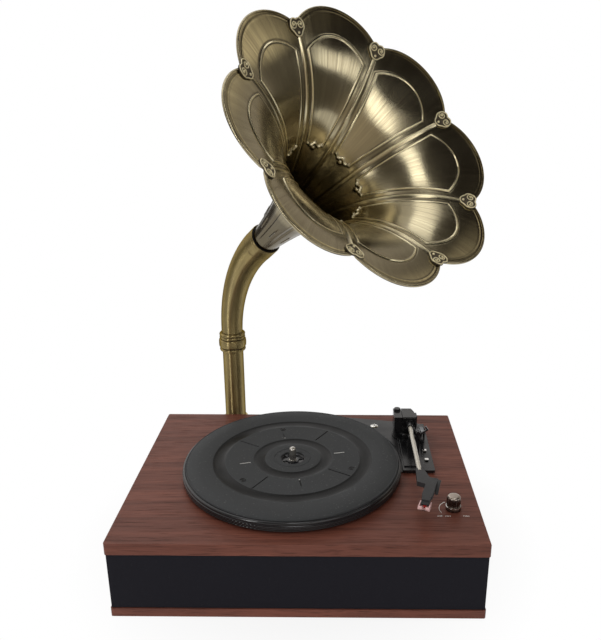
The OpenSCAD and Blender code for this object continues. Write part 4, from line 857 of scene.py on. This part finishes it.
def make_medallions():
    """Eight pressed medallions over the notches. Each lies flat at first, and its three directions are
    then turned to the notch and leant towards the front."""
    parts = medallion_parts()
    edge_t = np.interp(petal_edge(HALF), FLARE_R, FLARE_T)
    along_axis = flare(edge_t)[0] + flare_normal(edge_t)[0] * (-WALL + 0.9)
    lean = np.radians(24)
    shells = []
    for k in range(PETALS):
        angle = PETAL_TURN - k * 2 * HALF
        out = np.cos(angle) * AXIS_U + np.sin(angle) * AXIS_V
        ex = np.cos(lean) * out + np.sin(lean) * AXIS_N
        ez = -np.sin(lean) * out + np.cos(lean) * AXIS_N
        turned = np.array([ex, np.cross(ez, ex), ez])
        origin = SOCKET_END + along_axis * AXIS_N + (NOTCH_R - 3.0) * out
        shells += [{**p, "points": origin + p["points"] @ turned} for p in parts]
    # The plates are painted dark as shade, and the raised parts painted light as highlights
    piece("scroll_medallions", shells, "horn", ["brass_painted_shade", "brass_painted_highlight"], ("medallions",),
          50)


def make_elbow():
    """The bent pipe as one closed sheet: circles whose radius grows with the 1.4th power of the way,
    set square to an arc that leaves the collar upright and ends along the horn's axis. Below it a plain
    sleeve reaches into the pipe."""
    f = np.linspace(0, 1, 61)[:, None]
    a = np.linspace(0, 2 * np.pi, 72, endpoint=False)[None, :]
    mid = BEND_FROM + BEND_R * ((1 - np.cos(f * BEND_ANGLE)) * BEND_OUT + np.sin(f * BEND_ANGLE) * UP)
    way = np.cos(f * BEND_ANGLE) * UP + np.sin(f * BEND_ANGLE) * BEND_OUT
    top = np.cross(way, AXIS_U)
    low = PIPE_R + 0.2
    rad = low + (SOCKET_R - low) * f ** 1.4
    circle = np.cos(a)[..., None] * AXIS_U + np.sin(a)[..., None] * top[:, None]
    outer, inner = (mid[:, None] + (rad - off)[..., None] * circle for off in (0.0, PIPE_WALL))
    shell = outward(sheet(np.concatenate([outer, inner[::-1]]), True, True))
    both = np.concatenate([f, f[::-1]])
    along = np.stack([np.cos(a) + 0 * both, np.sin(a) + 0 * both, 2.2 * both + 0 * a], -1).reshape(-1, 3)
    pin_r = PIPE_R - PIPE_WALL - SLIDE
    sleeve = lathe([(pin_r, -15.5), (pin_r, 1.0), (pin_r - 1.15, 1.0), (pin_r - 1.15, -15.5)], BEND_FROM, 48)
    along = np.concatenate([along, sleeve["points"] * 0.02])
    piece("bent_pipe", [shell, sleeve], "horn", ["pipe_brass"], ("horn_elbow",), 50, along)


def make_socket():
    """The turned sleeve that holds the horn's neck: a band with two fine grooves and a rolled mouth."""
    r, n = SOCKET_R, SOCKET_LEN
    foot = [(r - 1.2, 0), (r, 0), (r, 1.6), (r - 0.3, 1.9), (r - 0.3, 2.2), (r, 2.5), (r, n - 3.0)]
    mouth = [(r - 0.25, n - 2.7), (r - 0.25, n - 2.4), (r + 0.02, n - 2.1), (r + 0.05, n - 0.6),
             (r - 0.3, n), (r - 0.9, n), (r - 1.2, n - 0.5)]
    sleeve = lathe(foot + mouth, SOCKET_FROM, 96, AXIS_N)
    piece("neck_sleeve", [sleeve], "horn", ["turned_brass"], ("elbow_socket",), 30)


def make_pipe():
    """The upright pipe. Its brushing follows the direction from its axis, turned by a fixed angle, and
    its height."""
    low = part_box("horn_pipe")[0].z / MM - SHIFT[2]
    inner, high = PIPE_R - PIPE_WALL, PIPE_TOP - low
    pipe = lathe([(inner, 0), (PIPE_R, 0), (PIPE_R, high), (inner, high)], (*PIPE, low), 72)
    out = pipe["points"][:, :2] - PIPE
    out = out / np.linalg.norm(out, axis=1, keepdims=True)
    first = np.array([-0.8, 0.3]) / np.hypot(0.8, 0.3)
    along = np.stack([out @ first, out @ [-first[1], first[0]], pipe["points"][:, 2] / 60.0], 1)
    piece("upright_pipe", [pipe], "base", ["pipe_brass"], ("horn_pipe",), 40, along)


def make_collar():
    """The turned collar: a broad swollen band between half-round beads, with thin dark rings in its grooves
    as painted shade.
    """
    neck, high, full = PIPE_R + 1.6, 24.0, 16.5
    half_turn = np.linspace(-np.pi / 2, np.pi / 2, 9)

    def bead(at, size):
        """A half-round bead: a half circle of radius size about a point just inside the neck."""
        return [(neck - 0.4 + size * np.cos(k), at + size * np.sin(k)) for k in half_turn]

    profile = [(PIPE_R + 0.02, 0.4), (neck - 0.3, 0.0)] + bead(2.2, 2.0)
    profile += [(neck, 4.9), (full - 0.8, 5.4), (full, 6.4)]
    profile += [(full + 0.25 * np.sin(np.pi * k), 6.4 + 8.0 * k) for k in np.linspace(0, 1, 9)[1:-1]]
    profile += [(full, 14.4), (full - 0.8, 15.3), (neck, 15.8)] + bead(17.8, 1.9) + bead(21.6, 1.9)
    profile += [(neck - 0.3, high), (11.5, high), (11.5, high - 0.5)]
    collar = lathe(profile, (*PIPE, COLLAR_Z), 96)
    q = np.linspace(0, 2 * np.pi, 72, endpoint=False)
    # Dark rings laid in the grooves: painted shade
    grooves = [tube(round_points(PIPE, neck, q, COLLAR_Z + at), 0.45, 6, True, 1) for at in (4.5, 15.7, 19.7)]
    piece("turned_collar", [collar] + grooves, "base", ["turned_brass", "brass_painted_shade"], ("pipe_collar",),
          35)


# Deck

def make_platter(teeth):
    """The platter: a closed profile turned about the spindle, and six spokes in the well round its hub.
    Its lower rim carries three rows of small teeth: the radius falls by a raised cosine of the angle,
    0.6 mm deep in the outer rows, and 0.45 mm deep and shifted by half a tooth in the middle one."""
    r, top, low = PLATTER_R, PLATTER_TOP, RIM_Z
    rim = [(r - 2.6, low, 0), (r - 0.5, low + 0.1, 0), (r - 0.1, low + 0.5, 0)]
    knurl = [(r, low + 0.9 + 5.0 * k, np.sin(3 * np.pi * k) ** 2) for k in np.linspace(0, 1, 13)]
    quarter = np.linspace(0, np.pi / 2, 9)
    lip = [(r - 0.55, low + 6.3, 0), (r - 0.5, low + 6.6, 0)]
    lip += [(r - 2.4 + 2.1 * np.cos(k), top - 2.15 + 2.2 * np.sin(k), 0) for k in quarter]
    face = [(r - 2.75, top - 0.1, 0), (r - 2.95, top - 0.6, 0), (r - 4.0, top - 0.05, 0), (r - 8.0, top, 0)]
    well = [(12.2, top, 0), (12.0, top - 0.2, 0), (11.4, top - 1.4, 0), (6.6, top - 1.4, 0),
            (6.3, top - 0.1, 0), (5.9, top, 0), (4.3, top, 0), (4.12, top - 0.2, 0)]
    under = [(4.12, low + 2, 0), (11.8, low + 2, 0), (12.0, top - 2.1, 0), (77.5, top - 2.0, 0),
             (77.5, low, 0), (80, low, 0), (80, top - 2.0, 0), (r - 3.0, top - 2.2, 0)]
    rad, height, tooth = np.hsplit(np.array(rim + knurl + lip + face + well + under), 3)
    a = np.linspace(0, 2 * np.pi, teeth * 4, endpoint=False)
    middle_row = (height > low + 2.5) & (height < low + 4.3)
    wave = np.where(middle_row, 0.45 * (0.5 - 0.5 * np.cos(teeth * a)), 0.6 * (0.5 + 0.5 * np.cos(teeth * a)))
    shells = [outward(sheet(round_points(SPINDLE_XY, rad - tooth * wave, a, height), True, True))]
    spoke_r, spoke_z = np.array([6.2, 9.0, 11.8]), top - np.array([0.75, 0.7, 0.75])
    for k in range(6):
        shells.append(tube(round_points(SPINDLE_XY, spoke_r, np.pi / 3 * k + 0.3, spoke_z), 0.6, 8))
    piece("platter_disc", shells, "platter", ["platter_black"], ("platter",), 50)


def make_mat():
    """The rubber mat: a profile with two sunk bands turned about the spindle, with six narrow grooves cut
    in it. The sunk bands are painted darker as shade, and the grooves' floors painted black as shade.
    Each groove is six columns of the grid at fixed distances, so it keeps its width. On it lie
    three dark C-shaped marks, and two pale strokes and two pale dots that are painted glints."""
    top = MAT_TOP

    def sunk(start, wide):
        """A band a millimetre deep, whose depth is the 0.4th power of a sine across it."""
        return [(start + wide * u, top - np.sin(np.pi * u) ** 0.4) for u in np.linspace(0, 1, 11)]

    profile = [(12.85, PLATTER_TOP + 0.02), (12.85, top - 0.3), (13.2, top), (18.5, top), (18.8, top - 0.35),
               (19.9, top - 0.35), (20.2, top), (24.5, top)] + sunk(*BANDS[0])
    profile += [(44.6, top), (44.9, top), (56.0, top), (60.0, top), (70.2, top), (70.6, top)]
    profile += sunk(*BANDS[1])
    profile += [(98.0, top), (110.8, top), (111.2, top - 0.3), (111.7, top - 0.3), (112.1, top),
                (112.6, top - 0.2), (113.0, top - 0.8), (113.0, PLATTER_TOP + 0.02)]
    rad, height = np.hsplit(np.array(profile), 2)
    groove = ((-1.05, 0), (-0.7, 0.01), (-0.6, 0.7), (0.6, 0.7), (0.7, 0.01), (1.05, 0))
    columns = [(np.radians(angle), off, far, depth) for angle, far in GROOVES for off, depth in groove]
    taken = np.radians([angle for angle, _ in GROOVES])
    for q in np.linspace(-np.pi, np.pi, 144, endpoint=False):
        if np.min(np.abs((taken - q + np.pi) % (2 * np.pi) - np.pi)) > 0.06:
            columns.append((q, 0.0, 0.0, 0.0))
    columns.sort(key=lambda column: (column[0] % (2 * np.pi)) + column[1] * 1e-3)
    q, off, far, depth = np.array(columns).T
    cut = depth * ((rad > 44.7) & (rad < far + 0.3)) * (height > top - 0.01)
    points = round_points(SPINDLE_XY, rad, q + off / np.maximum(rad, 14.0), height - cut)
    # The grooves' floors take the black painted shade, the sunk bands the darker painted shade
    in_cut = (cut > 0.3) & (np.roll(cut, -1, 0) > 0.3)
    in_band = sum((rad > start - 0.1) & (rad < start + wide - 0.1) for start, wide in BANDS) > 0
    made_of = np.where(in_cut, 1, np.where(in_band, 2, 0))
    shells = [outward(sheet(points, True, True, made_of.ravel()))]
    for at in (103.3, -19.0, -136.5):
        mid = round_points(SPINDLE_XY, 66.0, np.radians(at), top)
        arc = np.radians(np.linspace(at + 30, at + 320, 22))
        shells.append(tube(round_points(mid, 2.5, arc, top), 0.7, 7, False, 1))
        shells.append(ball(mid, 1.0, 6, 1, 0.5))
    # Pale strokes and dots: painted glints
    for at in (12.0, -166.0):
        shells.append(tube(round_points(SPINDLE_XY, np.linspace(45.3, 56.5, 8), np.radians(at), top), 0.45, 6,
                           False, 3))
    for at in (104.8, -78.0):
        shells.append(ball(round_points(SPINDLE_XY, 45.0, np.radians(at), top), 0.75, 6, 3, 0.6))
    piece("platter_mat", shells, "platter", ["mat_rubber", "black_and_groove_shade", "mat_band", "painted_glint"], ("mat",),
          40)


def make_spindle():
    """The steel spindle: its bearing shaft below the platter, and the pin with a rounded tip above it."""
    r, top = 3.55, MAT_TOP + 13.0
    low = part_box("spindle")[0].z / MM - SHIFT[2]
    profile = [(0, low), (4.05, low), (4.05, PLATTER_TOP + 0.2), (3.95, PLATTER_TOP + 0.3),
               (r, PLATTER_TOP + 0.35)]
    profile += [(r * np.cos(k), top - r + r * np.sin(k)) for k in np.linspace(0, np.pi / 2, 9)]
    piece("centre_spindle", [lathe(profile, (*SPINDLE_XY, 0), 48)], "base", ["spindle_steel"], ("spindle",),
          35)


def make_screws():
    """The three deck screws: low domed heads with a crossed recess, whose depth falls off away from two
    lines."""
    q = np.linspace(0, 2 * np.pi, 64, endpoint=False)
    rad = np.array([0.05, 0.5, 1.0, 1.6, 2.1, 2.5, 2.8, 3.3, 3.9, 4.3, 4.5, 4.5])[:, None]
    from_line = np.minimum(np.abs(rad * np.cos(q)), np.abs(rad * np.sin(q)))
    cut = 0.9 * np.clip(1 - (from_line - 0.28) / 0.3, 0, 1) * (rad < 2.6)
    stem_r = np.array([[1.7], [1.7], [0.05]])
    shells = []
    for low, high in islands_of("deck_screws"):
        middle = (low + high) / 2
        surface = high[2] - 0.05 - 1.5 * (rad / 4.5) ** 2.4
        surface[-1] = high[2] - 2.1
        head = round_points(middle, rad, q, surface - cut)
        stem = round_points(middle, stem_r, q, np.array([[high[2] - 2.1], [low[2]], [low[2]]]))
        shells.append(outward(sheet(np.concatenate([head, stem]), True, True)))
    piece("cross_screws", shells, "base", ["chrome"], ("deck_screws",), 30)


def islands_of(node):
    """For each separate solid of a node: its lowest and highest corners, in the cabinet's frame in
    millimetres."""
    bm = bmesh.new()
    bm.from_mesh(NODES[node].data)
    bmesh.ops.remove_doubles(bm, verts=bm.verts, dist=MERGE_DISTANCE)
    seen, out = set(), []
    for start in bm.verts:
        if start.index in seen:
            continue
        waiting, points = [start], []
        seen.add(start.index)
        while waiting:
            vert = waiting.pop()
            points.append(tuple(vert.co))
            for edge in vert.link_edges:
                other = edge.other_vert(vert)
                if other.index not in seen:
                    seen.add(other.index)
                    waiting.append(other)
        p = np.array(points) / MM - SHIFT
        out.append((p.min(0), p.max(0)))
    bm.free()
    return out


# Knob

def make_knob(ribs):
    """The volume knob: a flared foot, a bright ring, a body whose radius ripples with the angle, and a
    domed cap."""
    a = np.linspace(0, 2 * np.pi, ribs * 6, endpoint=False)
    z = BOARD_TOP + 0.4
    cap_z = z + 12.85
    foot = [(0.05, z, 0), (7.2, z, 0), (7.5, z + 0.3, 0), (7.5, z + 2.6, 0), (7.1, z + 3.4, 0),
            (6.9, z + 4.6, 0)]
    grip = [(6.9, z + 5.0, 1), (6.85, z + 8.0, 1), (6.8, z + 11.6, 1), (6.6, z + 12.4, 1)]
    rad, height, ribbed = np.hsplit(np.array(foot + grip + [(6.3, z + 12.9, 0), (0.05, z + 12.9, 0)]), 3)
    rad = rad - 0.85 * ribbed * np.abs(np.sin(ribs * a / 2)) ** 1.5
    body = outward(sheet(round_points(KNOB_XY, rad, a, height), True, True))
    ring = lathe([(7.0, z + 3.3), (7.32, z + 3.4), (7.4, z + 3.8), (7.32, z + 4.2), (7.0, z + 4.3)],
                 (*KNOB_XY, 0), 72, mat=1)
    piece("ribbed_knob", [body, ring], "volume", ["knob_black", "ring_bright"], ("volume_knob",),
          40)
    low, high = (corner.z / MM - SHIFT[2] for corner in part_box("knob_cap"))
    rise = high - max(low, cap_z) - 0.1
    quarter = np.linspace(0, np.pi / 2, 9)[:-1]
    cap = [(0.05, cap_z), (6.35, cap_z)]
    cap += [(6.4 * np.cos(k) ** 0.35, cap_z + 0.1 + rise * np.sin(k)) for k in quarter]
    cap += [(0.05, cap_z + 0.1 + rise)]
    piece("domed_cap", [lathe(cap, (*KNOB_XY, 0), 64)], "volume", ["cap_metal"], ("knob_cap",),
          40)


def make_words(size):
    """Words beside the knob, printed on the board as thin closed meshes."""
    mesh = bpy.data.meshes.new("knob_words")
    bm = bmesh.new()
    for word, x, y in (("OFF", 134.7, -85.3), ("MIN", 142.4, -85.2), ("MAX", 160.1, -85.0)):
        curve = bpy.data.curves.new("word", "FONT")
        curve.body, curve.size, curve.extrude = word, size * MM, 0.02 * MM
        curve.align_x = curve.align_y = "CENTER"
        curve.resolution_u = 3
        obj = bpy.data.objects.new("word", curve)
        bpy.context.scene.collection.objects.link(obj)
        bpy.context.view_layer.update()
        part = bpy.data.meshes.new_from_object(obj.evaluated_get(bpy.context.evaluated_depsgraph_get()))
        part.transform(Matrix.Translation(Vector(world((x, y, BOARD_TOP + 0.04)))))
        bm.from_mesh(part)
        bpy.data.objects.remove(obj)
        bpy.data.curves.remove(curve)
        bpy.data.meshes.remove(part)
    bmesh.ops.remove_doubles(bm, verts=bm.verts, dist=1e-7)
    bm.to_mesh(mesh)
    bm.free()
    finish_piece("knob_words", mesh, "base", ["print_white"], (), 30)


def make_arc():
    """The tapering arc round the knob: it lies between two radii whose gap shrinks evenly with the angle."""
    a = np.radians(np.linspace(118, 208, 32))
    n = len(a)
    wide = 0.25 + 0.55 * (a[-1] - a) / (a[-1] - a[0])
    inner, outer = 13.6 - wide / 2, 13.6 + wide / 2
    low, high = BOARD_TOP + 0.01, BOARD_TOP + 0.06
    shell = sheet(np.stack([round_points(KNOB_XY, r, a, h) for r, h in (
        (inner, low), (outer, low), (outer, high), (inner, high))]), True, False)
    ends = np.array([[0, n, 2 * n, 3 * n], [4 * n - 1, 3 * n - 1, 2 * n - 1, n - 1]])
    shell["faces"] = np.concatenate([shell["faces"], ends])
    shell["uv"] = np.concatenate([shell["uv"], np.zeros((2, 4, 2))])
    piece("knob_arc", [outward(shell)], "base", ["print_white"], (), 30)


# Nodes of the frame: which finish each wears, and the radius to which edges are rounded

FINISH_OF = {
    "walnut": ("top_board", "bottom_board"),
    "walnut_side": ("left_side", "right_side"),
    "black_board": ("rear_panel", "front_baffle", "grille_frame"),
    "grille_cloth": ("grille_cloth",),
    "foot_rubber": ("feet",),
    "zinc_screws": ("foot_screws",),
    "driver_steel": ("left_speaker", "right_speaker", "motor", "horn_driver", "volume_control"),
    "cone_paper": ("left_cone", "right_cone"),
    "deck_black": ("deck_plate", "jack_plate"),
    "bearing_brass": ("hub_washer", "motor_pulley"),
    "belt_rubber": ("belt",),
    "platter_black": ("platter",),
    "mat_rubber": ("mat",),
    "arm_black": ("tonearm_plate", "pivot_turret", "arm_yoke", "arm_block", "arm_rest", "arm_clip",
                  "cue_lever", "cue_bar"),
    "tube_cream": ("arm_tube",),
    "shell_black": ("headshell", "finger_lift", "cartridge"),
    "stylus_red": ("stylus",),
    "guard_pink": ("stylus_guard",),
    "chrome": ("spindle", "deck_screws", "counterweight"),
    "shaft_steel": ("pivot_post", "tilt_pin", "control_shaft"),
    "ring_bright": ("speed_switch", "stop_switch"),
    "knob_black": ("volume_knob",),
    "cap_metal": ("knob_cap",),
    "board_green": ("amplifier_board",),
    "board_parts": ("amplifier_parts",),
    "jack_metal": ("jacks",),
    "plain_brass": ("horn_flange", "horn_pipe", "horn_elbow", "elbow_socket", "horn_bell"),
    "dark_brass": ("pipe_collar", "medallions"),
    "brass_screws": ("flange_screws",),
    "black_and_groove_shade": ("horn_gasket",),
}

SOFT_EDGES = {
    "top_board": 0.7, "bottom_board": 0.7, "left_side": 0.5, "right_side": 0.5, "rear_panel": 0.4,
    "grille_cloth": 0.5, "deck_plate": 0.3, "tonearm_plate": 0.5, "pivot_turret": 0.4, "arm_yoke": 0.6,
    "arm_block": 0.6, "arm_rest": 0.35, "arm_clip": 0.25, "cue_lever": 0.5, "cue_bar": 0.3,
    "headshell": 0.45, "finger_lift": 0.3, "cartridge": 0.3, "stylus_guard": 0.25, "speed_switch": 0.3,
    "stop_switch": 0.3, "jack_plate": 0.3, "jacks": 0.2, "feet": 0.4, "horn_flange": 0.4,
}


class PlayerColours(PropertyGroup):
    """Colours of the main finishes, as linear values."""
    brass_light: FloatVectorProperty(
        name="Brass", description="Colour of the polished brass", subtype="COLOR",
        default=(0.515, 0.46, 0.30), min=0, max=1)
    brass_dark: FloatVectorProperty(
        name="Aged brass", description="Colour of the brass in its brushing lines", subtype="COLOR",
        default=(0.25, 0.20, 0.125), min=0, max=1)
    walnut_light: FloatVectorProperty(
        name="Walnut light", description="Lighter bands of the veneer", subtype="COLOR",
        default=(0.25, 0.084, 0.055), min=0, max=1)
    walnut_dark: FloatVectorProperty(
        name="Walnut dark", description="Darker bands of the veneer", subtype="COLOR",
        default=(0.118, 0.037, 0.024), min=0, max=1)
    cloth: FloatVectorProperty(
        name="Cloth", description="Colour of the loudspeaker cloth", subtype="COLOR",
        default=(0.0135, 0.0132, 0.019), min=0, max=1)
    mat: FloatVectorProperty(
        name="Mat", description="Colour of the rubber mat", subtype="COLOR",
        default=(0.044, 0.047, 0.050), min=0, max=1)
    tube: FloatVectorProperty(
        name="Arm tube", description="Colour of the tonearm's tube", subtype="COLOR",
        default=(0.55, 0.52, 0.45), min=0, max=1)


class PlayerSizes(PropertyGroup):
    """Sizes and counts of details that the frame leaves open."""
    rim_teeth: IntProperty(
        name="Rim teeth", description="Teeth round the platter's rim", default=200, min=60, max=320)
    knob_ribs: IntProperty(
        name="Knob ribs", description="Ribs round the volume knob", default=20, min=12, max=60)
    word_height: FloatProperty(
        name="Word size", description="Size of the words by the knob, in millimetres",
        default=2.8, min=1, max=5)
    lamp_glow: FloatProperty(
        name="Lamp glow", description="Brightness of the main soft lamp's face", subtype="FACTOR",
        default=3.0, min=0, max=50)
    room_light: FloatProperty(
        name="Room light", description="Strength of the room's even light", subtype="FACTOR",
        default=1.2, min=0, max=5)


class PlayerLook(PropertyGroup):
    """Everything a user would change."""
    colours: PointerProperty(type=PlayerColours, name="Colours", description="Colours of the finishes")
    sizes: PointerProperty(type=PlayerSizes, name="Sizes", description="Sizes and counts of the details")


class HORNPLAYER_OT_horn(Operator):
    """Make the petal horn with its pressed panels"""
    bl_idname = "horn_player.horn"
    bl_label = "Horn"

    def execute(self, context):
        make_horn()
        return {"FINISHED"}


class HORNPLAYER_OT_medallions(Operator):
    """Make the scroll medallions over the petals' notches"""
    bl_idname = "horn_player.medallions"
    bl_label = "Medallions"

    def execute(self, context):
        make_medallions()
        return {"FINISHED"}


class HORNPLAYER_OT_pipe(Operator):
    """Make the upright pipe, its collar, the bent pipe and the neck's sleeve"""
    bl_idname = "horn_player.pipe"
    bl_label = "Pipe"

    def execute(self, context):
        make_pipe()
        make_collar()
        make_elbow()
        make_socket()
        return {"FINISHED"}


class HORNPLAYER_OT_platter(Operator):
    """Make the platter, its mat, the spindle and the deck screws"""
    bl_idname = "horn_player.platter"
    bl_label = "Platter"

    def execute(self, context):
        make_platter(look().sizes.rim_teeth)
        make_mat()
        make_spindle()
        make_screws()
        return {"FINISHED"}


class HORNPLAYER_OT_knob(Operator):
    """Make the volume knob and the printing beside it"""
    bl_idname = "horn_player.knob"
    bl_label = "Knob"

    def execute(self, context):
        make_knob(look().sizes.knob_ribs)
        make_words(look().sizes.word_height)
        make_arc()
        return {"FINISHED"}


class HORNPLAYER_OT_edges(Operator):
    """Round the edges of the boards, the deck's parts and the tonearm"""
    bl_idname = "horn_player.edges"
    bl_label = "Soft edges"

    def execute(self, context):
        wears = {node: name for name, nodes in FINISH_OF.items() for node in nodes}
        for node, bevel in SOFT_EDGES.items():
            softened(node, wears[node], bevel)
        return {"FINISHED"}


class HORNPLAYER_OT_finishes(Operator):
    """Give every node of the frame its finish"""
    bl_idname = "horn_player.finishes"
    bl_label = "Finishes"

    def execute(self, context):
        missing = set(NODES) - {node for nodes in FINISH_OF.values() for node in nodes}
        if missing:
            raise RuntimeError("nodes without a finish: " + ", ".join(sorted(missing)))
        for name, nodes in FINISH_OF.items():
            for node in nodes:
                obj = NODES[node]
                if not obj.material_slots:
                    obj.data.materials.append(finish(name))
                for slot in obj.material_slots:
                    slot.material = finish(name)
        return {"FINISHED"}


def stage_white():
    """The floor's material: white paint, as diffuse light sees it everywhere. For the camera and for mirrored
    and transmitted rays it is mixed with plain white light, 88 percent of it under the object, where its
    shadow falls, and all of it farther out."""
    mat, tree, shader = start_material("stage_white")
    place = place_of(tree)
    cloud = noise(tree, place, 3.0, 2.0)["Fac"]
    shader.inputs["Roughness"].default_value = 0.9
    tree.links.new(mixed(tree, cloud, (0.80, 0.80, 0.80), (0.82, 0.82, 0.82)), shader.inputs["Base Color"])
    path = add(tree, "ShaderNodeLightPath").outputs
    seen = maths(tree, "MAXIMUM", path["Is Glossy Ray"], path["Is Transmission Ray"])
    seen = maths(tree, "MAXIMUM", path["Is Camera Ray"], seen)
    flat = vector_maths(tree, "MULTIPLY", place, (1.0, 1.0, 0.0))["Vector"]
    away = span(tree, vector_maths(tree, "LENGTH", flat)["Value"], 0.15, 0.26, 0.88, 1.0)
    glow = add(tree, "ShaderNodeEmission", {"Color": (1, 1, 1, 1), "Strength": 1.0})
    blend = add(tree, "ShaderNodeMixShader", {0: maths(tree, "MULTIPLY", seen, away)})
    tree.links.new(shader.outputs["BSDF"], blend.inputs[1])
    tree.links.new(glow.outputs["Emission"], blend.inputs[2])
    tree.links.new(blend.outputs["Shader"], tree.nodes["Material Output"].inputs["Surface"])
    return mat


def make_floor():
    """The floor, which widens to the back, and the backdrop that stands on its far edge, in metres."""
    mat = stage_white()
    far_y, far_x = 2.4, 1.5
    floor = [[(-0.9, -0.8, 0.0), (0.9, -0.8, 0.0)], [(-far_x, far_y, 0.0), (far_x, far_y, 0.0)]]
    backdrop = [[(x, far_y, z) for x in (-far_x, far_x)] for z in (0.0, 0.9)]
    for name, corners in (("floor", floor), ("backdrop", backdrop)):
        shell = sheet(np.array(corners))
        mesh = bpy.data.meshes.new(name)
        mesh.from_pydata(shell["points"].tolist(), [], shell["faces"].tolist())
        mesh.materials.append(mat)
        obj = bpy.data.objects.new(name, mesh)
        bpy.context.scene.collection.objects.link(obj)


def make_room():
    """The room that the metal mirrors: a dark even tone with wide soft patches, each where the direction
    is near its aim, measured as the cosine of the angle between them."""
    room = bpy.data.worlds.new("room")
    room.use_nodes = True
    tree = room.node_tree
    way = add(tree, "ShaderNodeTexCoord").outputs["Generated"]
    height = add(tree, "ShaderNodeSeparateXYZ", {"Vector": way}).outputs["Z"]
    tone = ROOM_TONE
    for aim, low, high, colour, above_floor in ROOM_PATCHES:
        share = span(tree, vector_maths(tree, "DOT_PRODUCT", way, aim)["Value"], low, high, 0.0, 1.0)
        if above_floor:
            share = maths(tree, "MULTIPLY", share, span(tree, height, -0.05, 0.2, 0.0, 1.0))
        tone = mixed(tree, share, tone, colour)
    background = tree.nodes["Background"].inputs
    tree.links.new(tone, background["Color"])
    background["Strength"].default_value = look().sizes.room_light
    bpy.context.scene.world = room


def area_lamp(name, azimuth, elevation, distance, size, glow):
    """A soft rectangular lamp that looks at the horn from a direction, azimuth 0 being the front and 90
    the right. Its power is pi times its glow times its area, so that the horn mirrors it as bright as
    its glow."""
    data = bpy.data.lights.new(name, "AREA")
    data.shape, data.size, data.size_y = "RECTANGLE", size[0], size[1]
    data.energy = np.pi * glow * size[0] * size[1]
    az, el = np.radians([azimuth, elevation])
    way = Vector((np.sin(az) * np.cos(el), -np.cos(az) * np.cos(el), np.sin(el)))
    obj = bpy.data.objects.new(name, data)
    obj.location = Vector(HORN_MIDDLE) + distance * way
    obj.rotation_euler = (-way).to_track_quat("-Z", "Y").to_euler()
    bpy.context.scene.collection.objects.link(obj)


def make_camera():
    """The camera of the photograph: its place, its two fitted directions, its lens, and the picture's
    middle."""
    data = bpy.data.cameras.new("camera")
    camera = bpy.data.objects.new("camera", data)
    back = -Vector(CAMERA_AHEAD).normalized()
    up = back.cross(Vector(CAMERA_RIGHT).normalized()).normalized()
    right = up.cross(back)
    turn = Matrix((right, up, back)).transposed().to_4x4()
    camera.matrix_world = Matrix.Translation(Vector(world(CAMERA_SPOT))) @ turn
    data.sensor_width, data.sensor_fit = SENSOR, "AUTO"
    data.lens = FOCAL_PIXELS / PICTURE_H * SENSOR
    data.shift_x = (PICTURE_W / 2 - MIDDLE_PIXEL[0]) / PICTURE_H
    data.shift_y = (MIDDLE_PIXEL[1] - PICTURE_H / 2) / PICTURE_H
    data.clip_start, data.clip_end = 0.01, 50.0
    bpy.context.scene.collection.objects.link(camera)
    bpy.context.scene.camera = camera


class HORNPLAYER_OT_stage(Operator):
    """Set the floor, the pale backdrop, the soft lamps and the camera"""
    bl_idname = "horn_player.stage"
    bl_label = "Stage"

    def execute(self, context):
        make_floor()
        make_room()
        context.scene.view_settings.view_transform = "Standard"
        for name, azimuth, elevation, distance, size, share in LAMPS:
            area_lamp(name, azimuth, elevation, distance, size, share * look().sizes.lamp_glow)
        make_camera()
        return {"FINISHED"}


class HORNPLAYER_PT_panel(Panel):
    """Lists the pieces in the sidebar"""
    bl_idname = "HORNPLAYER_PT_panel"
    bl_label = "Horn Player"
    bl_space_type = "VIEW_3D"
    bl_region_type = "UI"
    bl_category = "Horn Player"

    def draw(self, context):
        props = context.scene.horn_player
        for op in STEPS:
            self.layout.operator(op.bl_idname)
        for part in (props.colours, props.sizes):
            for key in part.__annotations__:
                self.layout.prop(part, key)


STEPS = (HORNPLAYER_OT_stage, HORNPLAYER_OT_finishes, HORNPLAYER_OT_edges, HORNPLAYER_OT_horn,
         HORNPLAYER_OT_medallions, HORNPLAYER_OT_pipe, HORNPLAYER_OT_platter, HORNPLAYER_OT_knob)
CLASSES = (PlayerColours, PlayerSizes, PlayerLook) + STEPS + (HORNPLAYER_PT_panel,)


def register():
    for cls in CLASSES:
        bpy.utils.register_class(cls)
    bpy.types.Scene.horn_player = PointerProperty(type=PlayerLook)


def unregister():
    del bpy.types.Scene.horn_player
    for cls in reversed(CLASSES):
        bpy.utils.unregister_class(cls)


def main():
    """Makes every piece in order."""
    register()
    bpy.ops.horn_player.stage()
    bpy.ops.horn_player.finishes()
    bpy.ops.horn_player.edges()
    bpy.ops.horn_player.horn()
    bpy.ops.horn_player.medallions()
    bpy.ops.horn_player.pipe()
    bpy.ops.horn_player.platter()
    bpy.ops.horn_player.knob()


if __name__ == "__main__":
    main()
